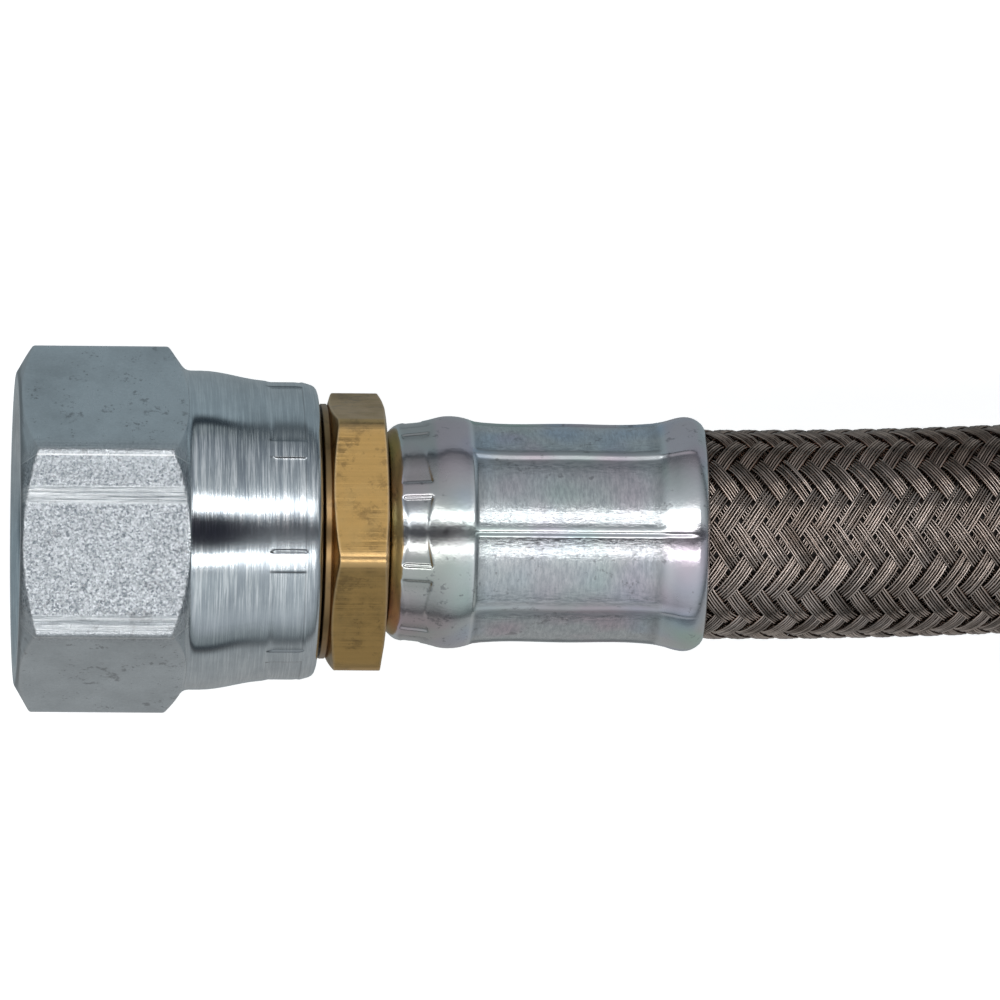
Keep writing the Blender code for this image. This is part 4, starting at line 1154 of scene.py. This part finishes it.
def build_tints():
    """Rainbow of a passivated coating: soft clouds of blue, green and rose are laid over a colour."""
    group, start, end = new_group(
        "plating tints", [("Place", "NodeSocketVector", None), ("Colour", "NodeSocketColor", None),
                          ("Scale", "NodeSocketFloat", 120.0), ("Amount", "NodeSocketFloat", 0.5)],
        [("Colour", "NodeSocketColor")])
    colour = start.outputs["Colour"]
    for tint, shift in PLATING_TINTS:
        moved = add_node(group, "ShaderNodeVectorMath", {0: start.outputs["Place"], 1: (shift, shift, shift)},
                         operation="ADD")
        cloud = add_node(group, "ShaderNodeTexNoise", {
            "Vector": moved.outputs["Vector"], "Scale": start.outputs["Scale"], "Detail": 1.0})
        patch = rise_above(group, cloud.outputs["Fac"], 0.5, 5.0)
        colour = mix_colour(group, product(group, patch, start.outputs["Amount"]), colour, tint)
    group.links.new(colour, end.inputs["Colour"])


def new_material(name, **values):
    """Start a material; return its tree and its Principled shader with constants on its own sockets."""
    material = bpy.data.materials.new(name)
    material.use_nodes = True
    shader = material.node_tree.nodes["Principled BSDF"]
    for title, value in values.items():
        shader.inputs[title.replace("_", " ")].default_value = value
    return material, material.node_tree, shader


def bump(tree, shader, height, distance):
    """Feed a height to the shader's normal."""
    node = add_node(tree, "ShaderNodeBump", {"Height": height, "Distance": distance, "Strength": 1.0})
    tree.links.new(node.outputs["Normal"], shader.inputs["Normal"])


def streaks(tree, place, along, across, contrast):
    """Brush marks from noise of a size of 1 / along metres on X and 1 / across metres on Y and Z."""
    return use_group(tree, "brush streaks", Place=place, Stretch=(along, across, across),
                     Contrast=contrast)["Height"]


def stains(tree, place, scale, threshold, softness):
    """Mask of gathered stains."""
    return use_group(tree, "stains", Place=place, Scale=scale, Threshold=threshold, Softness=softness)["Mask"]


def nut_finish(colour):
    """Zinc on the nut: blasted front flats with painted glints, crossed by bright drawn bands and a painted
    highlight line, a brushed skirt with painted streaky highlights and shade, scuffs and specks, bright
    wear on the edges, darker lines round the swaging marks and at the mouth, and painted shade on the
    chamfer."""
    material, tree, shader = new_material("zinc_nut", Metallic=1.0)
    place = object_place(tree)
    flat, wear, across, facing, worn, pressed, soil = piece_values(
        tree, "flat", "wear", "across", "facing", "worn", "pressed", "soil")
    grain = use_group(tree, "plating grain", Place=place, Scale=4600.0)["Height"]
    speckle = use_group(tree, "blasted speckle", Place=place, Scale=5600.0)["Height"]
    drawn = streaks(tree, place, 45.0, 4200.0, 3.4)
    fine = streaks(tree, place, 6400.0, 190.0, 3.2)
    broad = streaks(tree, place, 1700.0, 110.0, 3.0)
    brushed = maths(tree, "MULTIPLY_ADD", broad, 0.4, maths(tree, "MULTIPLY", fine, 0.6))
    scuffs = stains(tree, place, 900.0, 0.715, 0.06)
    specks = stains(tree, place, 2700.0, 0.72, 0.04)
    haze = stains(tree, place, 180.0, 0.48, 0.30)
    front = product(tree, facing, flat)
    bands = maths(tree, "ADD", band_mask(tree, across, *UPPER_BAND), band_mask(tree, across, *LOWER_BAND),
                  clamp=True)
    lines = product(tree, bands, front)
    # painted highlight: a white line near one edge of each flat that faces up
    painted_rim_highlight = product(tree, band_mask(tree, across, *RIM_HIGHLIGHT_BAND), front)
    # grain on the flats, with its painted glints mostly on the flats that face up
    grain_and_glints = product(tree, product(tree, flat, maths(tree, "MULTIPLY_ADD", facing, 0.90, 0.10)),
                     maths(tree, "MULTIPLY_ADD", lines, -0.75, 1.0))
    skirt = maths(tree, "SUBTRACT", 1.0, flat)
    # brush streaks, laid on strongly where the skirt's painted streaky highlights and shade go
    streaks_and_sheen = product(tree, skirt, maths(tree, "MULTIPLY_ADD", worn, 0.75, 0.25))
    height = maths(tree, "MULTIPLY_ADD", product(tree, drawn, flat),
                   maths(tree, "MULTIPLY_ADD", lines, 0.55, 0.04), product(tree, grain, grain_and_glints))
    height = maths(tree, "MULTIPLY_ADD", product(tree, brushed, streaks_and_sheen), 0.16, height)
    bump(tree, shader, height, 0.12 * MM)
    # painted glints: bright and dark speckle of the blasted grain
    spread = maths(tree, "MULTIPLY_ADD", maths(tree, "SUBTRACT", speckle, 0.5), 1.2, 0.47, clamp=True)
    painted_glints = mix_colour(tree, spread, GLINT_SPECKLE_DARK, GLINT_SPECKLE_BRIGHT)
    # painted shade over the upper part of each flat
    painted_glints = mix_colour(tree, rise_above(tree, across, 5.6, 0.16), painted_glints, SPECKLE_PAINTED_SHADE)
    marks = product(tree, maths(tree, "ADD", scuffs, specks, clamp=True), flat)
    shade = layered(tree, colour, (
        (haze, 0.90, scaled(colour, 0.72)),
        (grain_and_glints, 0.90, painted_glints),
        (lines, 0.20, DRAWN_BRIGHT),
        (marks, 0.50, SCUFF_GREY),
        (wear, 0.30, WORN_ZINC),
        # painted streaky shade and painted streaky highlights on the skirt
        (product(tree, rise_above(tree, brushed, 0.38, 2.6), streaks_and_sheen), 0.70, BRUSHED_PAINTED_SHADE),
        (product(tree, rise_below(tree, brushed, 0.46, 4.0), streaks_and_sheen), 1.0, BRUSHED_PAINTED_HIGHLIGHT),
        (product(tree, drawn, lines), 0.65, DRAWN_BRIGHT),
        (product(tree, rise_below(tree, drawn, 0.40, 5.0), lines), 0.60, DRAWN_DARK),
        (painted_rim_highlight, 1.0, WHITE),
        # darker round the swaging marks and at the mouth, with painted shade on the chamfer
        (soil, 0.75, NUT_DARKENING)))
    tree.links.new(shade, shader.inputs["Base Color"])
    rough = maths(tree, "MULTIPLY_ADD", flat, 0.18, maths(tree, "MULTIPLY_ADD", pressed, 0.10, 0.08))
    rough = maths(tree, "MULTIPLY_ADD", haze, 0.04, rough)
    tree.links.new(maths(tree, "MULTIPLY_ADD", brushed, 0.05, rough, clamp=True), shader.inputs["Roughness"])
    return material


def nipple_finish(colour):
    """Brass: drawn flats with darker grain lines in patches, tarnish and specks, bright nicked edges, and
    painted shade on the neck behind the flange."""
    material, tree, shader = new_material("nipple_brass", Metallic=1.0)
    place = object_place(tree)
    flat, wear, soil = piece_values(tree, "flat", "wear", "soil")
    drawn = streaks(tree, place, 40.0, 2600.0, 2.6)
    turned = streaks(tree, place, 5200.0, 120.0, 2.4)
    tarnish = stains(tree, place, 240.0, 0.50, 0.22)
    specks = stains(tree, place, 1500.0, 0.66, 0.06)
    patches = maths(tree, "MULTIPLY_ADD", stains(tree, place, 330.0, 0.56, 0.14), 0.8, 0.2)
    grained = product(tree, drawn, flat, patches)
    shade = layered(tree, colour, (
        (tarnish, 0.55, TARNISH_BROWN),
        (grained, 0.75, GRAIN_BROWN),
        (specks, 0.35, SPECK_BROWN),
        (wear, 0.55, WORN_BRASS),
        (soil, 0.62, NECK_PAINTED_SHADE)))
    tree.links.new(shade, shader.inputs["Base Color"])
    round_part = maths(tree, "SUBTRACT", 1.0, flat)
    height = maths(tree, "MULTIPLY_ADD", product(tree, turned, round_part), 0.3, grained)
    bump(tree, shader, height, 0.014 * MM)
    tree.links.new(maths(tree, "MULTIPLY_ADD", tarnish, 0.14, 0.30), shader.inputs["Roughness"])
    return material


def ferrule_finish(colour):
    """Zinc on the ferrule: rainbow tints with a rose cast off the lands, a darker collar, flow marks across
    the pressed lands, rougher ridges with painted shade on the sides, and darker creases."""
    material, tree, shader = new_material("zinc_ferrule", Metallic=1.0)
    place = object_place(tree)
    flat, wear, soil, beside, aside, dulled, collar, rose = piece_values(
        tree, "flat", "wear", "soil", "beside", "aside", "dulled", "collar", "rose")
    dashes = streaks(tree, place, 1100.0, 3600.0, 4.5)
    flow = streaks(tree, place, 3400.0, 900.0, 4.0)
    grain = use_group(tree, "plating grain", Place=place, Scale=2600.0)["Height"]
    haze = stains(tree, place, 260.0, 0.50, 0.26)
    scuffs = stains(tree, place, 1500.0, 0.70, 0.06)
    near = maths(tree, "SUBTRACT", 1.15, maths(tree, "MULTIPLY", beside, 1.6), clamp=True)
    strokes = maths(tree, "MULTIPLY_ADD", product(tree, flow, maths(tree, "SUBTRACT", 1.0, near)), 0.65,
                    product(tree, dashes, near))
    strokes = product(tree, strokes, flat)
    tint = product(tree, maths(tree, "MULTIPLY_ADD", aside, 0.45, 0.50),
                   maths(tree, "MULTIPLY_ADD", flat, -0.35, 1.0))
    tinted = use_group(tree, "plating tints", Place=place, Colour=(*colour, 1.0), Scale=140.0, Amount=tint)
    shade = layered(tree, tinted["Colour"], (
        (haze, 0.30, scaled(colour, 0.72)),
        (collar, 0.55, COLLAR_TONE),
        (rose, 0.65, ROSE_TONE),
        (dulled, 0.35, RIDGE_PAINTED_SHADE),
        (strokes, 0.66, STROKE_GREY),
        (scuffs, 0.50, FERRULE_SCUFF),
        (soil, 0.32, CREASE_DARKENING),
        (wear, 0.60, WORN_FERRULE)))
    tree.links.new(shade, shader.inputs["Base Color"])
    height = maths(tree, "MULTIPLY_ADD", strokes, 0.9, maths(tree, "MULTIPLY", grain, 0.5))
    bump(tree, shader, height, 0.016 * MM)
    rough = maths(tree, "MULTIPLY_ADD", dulled, 0.34, 0.19)
    tree.links.new(maths(tree, "MULTIPLY_ADD", haze, 0.10, rough), shader.inputs["Roughness"])
    return material


def wire_finish(colour):
    """Stainless wire: each wire has its own tone, with a brown film in places, and painted shade, darker and
    warmer, on the hose's +Y side."""
    material, tree, shader = new_material("stainless_wire", Metallic=1.0)
    place = object_place(tree)
    tone, warm = piece_values(tree, "tone", "warm")
    film = stains(tree, place, 500.0, 0.50, 0.25)
    grain = use_group(tree, "plating grain", Place=place, Scale=5200.0)["Height"]
    shade = mix_colour(tree, tone, scaled(colour, 0.50), scaled(colour, 1.42))
    shade = layered(tree, shade, ((film, 0.40, FILM_BROWN),))
    shade = mix_colour(tree, warm, shade, WARM_SIDE_SHADE, blend="MULTIPLY")
    tree.links.new(shade, shader.inputs["Base Color"])
    bump(tree, shader, grain, 0.0012 * MM)
    tree.links.new(maths(tree, "MULTIPLY_ADD", film, 0.05, 0.10), shader.inputs["Roughness"])
    return material


def liner_finish(colour):
    """Liner: a waxy dark plastic with a faint mottle."""
    material, tree, shader = new_material("liner_plastic", IOR=1.38)
    mottle = stains(tree, object_place(tree), 400.0, 0.45, 0.3)
    tree.links.new(mix_colour(tree, mottle, colour, scaled(colour, 2.0)), shader.inputs["Base Color"])
    tree.links.new(maths(tree, "MULTIPLY_ADD", mottle, 0.15, 0.42), shader.inputs["Roughness"])
    return material


# ---------------------------------------------------------------- studio

def add_floor(colour):
    """Floor: a wide plain square at the height that the object lies on."""
    grid = np.array([(-1, -1, 0), (1, -1, 0), (1, 1, 0), (-1, 1, 0)], float) * FLOOR_HALF_WIDTH
    mesh = new_mesh("floor", grid, np.array([[0, 1, 2, 3]]))
    material, _, shader = new_material("floor_paint", Roughness=0.9)
    shader.inputs["Base Color"].default_value = (*colour, 1.0)
    shader.inputs["Specular IOR Level"].default_value = 0.0
    shader.inputs["Emission Color"].default_value = (1.0, 1.0, 1.0, 1.0)
    shader.inputs["Emission Strength"].default_value = FLOOR_GLOW
    mesh.materials.append(material)
    floor = bpy.data.objects.new("floor", mesh)
    bpy.context.scene.collection.objects.link(floor)
    floor.visible_glossy = False


def add_lights():
    """Two long soft boxes over the object, one on each side of the camera."""
    for number, (lean, width, watts) in enumerate(STRIPS, 1):
        light = bpy.data.lights.new(f"soft_box_{number}", "AREA")
        light.shape = "RECTANGLE"
        light.size = STRIP_LENGTH
        light.size_y = width
        light.energy = watts
        item = bpy.data.objects.new(f"soft_box_{number}", light)
        tilt = math.radians(lean)
        item.location = (0.0, STRIP_HEIGHT * math.tan(tilt), STRIP_HEIGHT)
        item.rotation_euler = (-tilt, 0.0, 0.0)
        bpy.context.scene.collection.objects.link(item)


def add_surroundings(scene):
    """Soft light from all round: pale walls and ceiling, a dark band at the horizon, a dimmer far wall, and
    a dark slot overhead between the soft boxes. The camera itself sees white."""
    world = bpy.data.worlds.new("studio")
    world.use_nodes = True
    tree = world.node_tree
    tree.nodes.clear()
    direction = add_node(tree, "ShaderNodeTexCoord").outputs["Generated"]
    parts = add_node(tree, "ShaderNodeSeparateXYZ", {"Vector": direction}).outputs
    ramp = add_node(tree, "ShaderNodeValToRGB", {"Fac": maths(tree, "MULTIPLY_ADD", parts["Z"], 0.5, 0.5)})
    elements = ramp.color_ramp.elements
    while len(elements) < len(SKY):
        elements.new(0.5)
    for element, (place, colour) in zip(elements, SKY):
        element.position = place
        element.color = (*colour, 1.0)
    high = rise_above(tree, parts["Z"], 0.05, 8.0)
    far_wall = product(tree, rise_above(tree, parts["Y"], 0.40, 4.0), high)
    near_floor = product(tree, maths(tree, "MULTIPLY", parts["Y"], -2.0, clamp=True),
                         maths(tree, "MULTIPLY", parts["Z"], -6.0, clamp=True))
    lean = maths(tree, "DIVIDE", parts["Y"], maths(tree, "MAXIMUM", parts["Z"], 0.05))
    slot = product(tree, band_mask(tree, lean, *DARK_SLOT), high)
    seen = add_node(tree, "ShaderNodeLightPath").outputs["Is Camera Ray"]
    colour = layered(tree, ramp.outputs["Color"], (
        (far_wall, 0.32, FAR_WALL),
        (near_floor, 0.50, NEAR_FLOOR),
        (slot, 1.0, SLOT_TONE),
        (seen, 1.0, WHITE)))
    background = add_node(tree, "ShaderNodeBackground", {"Color": colour, "Strength": 1.0})
    output = tree.nodes.new("ShaderNodeOutputWorld")
    tree.links.new(background.outputs[0], output.inputs["Surface"])
    scene.world = world


def add_camera(scene, studio):
    """Camera nearly straight above, leaning a little to the mouth and to +Y, with the fitting's axis across
    the picture."""
    toward = VIEW_FROM.normalized()
    upright = (Vector((0, 1, 0)) - toward * toward.y).normalized()
    across = upright.cross(toward)
    upright, across = (upright * math.cos(VIEW_ROLL) - across * math.sin(VIEW_ROLL),
                       across * math.cos(VIEW_ROLL) + upright * math.sin(VIEW_ROLL))
    camera = bpy.data.cameras.new("camera")
    camera.sensor_width = SENSOR_WIDTH
    camera.lens = camera.sensor_width * studio.distance / studio.view_width
    camera.clip_start, camera.clip_end = CLIP_RANGE
    item = bpy.data.objects.new("camera", camera)
    turn = Matrix((across, upright, toward)).transposed().to_4x4()
    item.matrix_world = Matrix.Translation(VIEW_CENTRE + toward * studio.distance) @ turn
    scene.collection.objects.link(item)
    scene.camera = item


# ---------------------------------------------------------------- operators

class HOSE_OT_finishes(bpy.types.Operator):
    """Build the effects that the finishes share"""

    bl_idname = "hose.finishes"
    bl_label = "Shared effects"

    def execute(self, context):
        build_grain()
        build_speckle()
        build_streaks()
        build_stains()
        build_tints()
        return {"FINISHED"}


class HOSE_OT_nuts(bpy.types.Operator):
    """Add the two swivel nuts"""

    bl_idname = "hose.nuts"
    bl_label = "Swivel nuts"

    def execute(self, context):
        nut = context.scene.hose_nut
        material = nut_finish(tuple(nut.colour))
        for fitting in FITTINGS:
            add_piece(nut_mesh(fitting, nut), material, fitting.swivel, [f"{fitting.name}_nut"])
        return {"FINISHED"}


class HOSE_OT_nipples(bpy.types.Operator):
    """Add the two brass nipples"""

    bl_idname = "hose.nipples"
    bl_label = "Nipples"

    def execute(self, context):
        nipple = context.scene.hose_nipple
        material = nipple_finish(tuple(nipple.colour))
        for fitting in FITTINGS:
            add_piece(nipple_mesh(fitting, nipple), material, HOSE_BODY,
                      [f"{fitting.name}_nipple"])
        return {"FINISHED"}


class HOSE_OT_ferrules(bpy.types.Operator):
    """Add the two crimped ferrules"""

    bl_idname = "hose.ferrules"
    bl_label = "Ferrules"

    def execute(self, context):
        ferrule = context.scene.hose_ferrule
        material = ferrule_finish(tuple(ferrule.colour))
        for fitting in FITTINGS:
            add_piece(ferrule_mesh(fitting, ferrule), material, HOSE_BODY,
                      [f"{fitting.name}_ferrule"])
        return {"FINISHED"}


class HOSE_OT_hose(bpy.types.Operator):
    bl_idname = "hose.hose"
    bl_label = "Hose"

    def execute(self, context):
        hose = context.scene.hose_hose
        rings, walked_rings = hose_line(LINER_SPACING)
        liner = add_piece(liner_mesh(walked_rings, rings), liner_finish(tuple(hose.liner_colour)),
                          HOSE_BODY, ["hose_liner"])
        points, walked = hose_line(hose.lead / (2 * hose.carriers) / STEPS_PER_CROSSING)
        material = wire_finish(tuple(hose.wire_colour))
        chance = np.random.default_rng(BRAID_CHANCE)
        braid = []
        for title, hand in (("right", 1), ("left", -1)):
            for group, bands in enumerate(np.array_split(np.arange(hose.carriers), BRAID_PIECES), 1):
                mesh = braid_mesh(f"braid_{title}_{group}", hand, bands, points, walked, hose, chance)
                braid.append(add_piece(mesh, material, HOSE_BODY, [] if braid else ["hose_braid"]))
        return {"FINISHED"}


class HOSE_OT_studio(bpy.types.Operator):
    """Add the floor, the lights and the camera"""

    bl_idname = "hose.studio"
    bl_label = "Studio"

    def execute(self, context):
        studio = context.scene.hose_studio
        add_floor(tuple(studio.floor_colour))
        add_lights()
        add_surroundings(context.scene)
        add_camera(context.scene, studio)
        context.scene.view_settings.view_transform = "Standard"
        return {"FINISHED"}


class HOSE_PT_panel(bpy.types.Panel):
    """The steps, in order"""

    bl_label = "Hydraulic hose"
    bl_idname = "HOSE_PT_panel"
    bl_space_type = "VIEW_3D"
    bl_region_type = "UI"
    bl_category = "Hose"

    def draw(self, context):
        for step in STEPS:
            self.layout.operator(step.bl_idname)
        for group in SETTINGS:
            box = self.layout.box()
            for title in SETTINGS[group].__annotations__:
                box.prop(getattr(context.scene, group), title)


STEPS = (HOSE_OT_studio, HOSE_OT_finishes, HOSE_OT_nuts, HOSE_OT_nipples, HOSE_OT_ferrules, HOSE_OT_hose)
SETTINGS = {
    "hose_nut": NutSettings,
    "hose_nipple": NippleSettings,
    "hose_ferrule": FerruleSettings,
    "hose_hose": HoseSettings,
    "hose_studio": StudioSettings,
}


def register():
    """Register the settings, steps and panel."""
    for title, group in SETTINGS.items():
        bpy.utils.register_class(group)
        setattr(bpy.types.Scene, title, PointerProperty(type=group))
    for item in (*STEPS, HOSE_PT_panel):
        bpy.utils.register_class(item)


def unregister():
    """Take the panel, steps and settings out again."""
    for item in reversed((*STEPS, HOSE_PT_panel)):
        bpy.utils.unregister_class(item)
    for title, group in SETTINGS.items():
        delattr(bpy.types.Scene, title)
        bpy.utils.unregister_class(group)


def main():
    """Run the steps in order."""
    register()
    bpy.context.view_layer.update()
    bpy.ops.hose.studio()
    bpy.ops.hose.finishes()
    bpy.ops.hose.nuts()
    bpy.ops.hose.nipples()
    bpy.ops.hose.ferrules()
    bpy.ops.hose.hose()


if __name__ == "__main__":
    main()
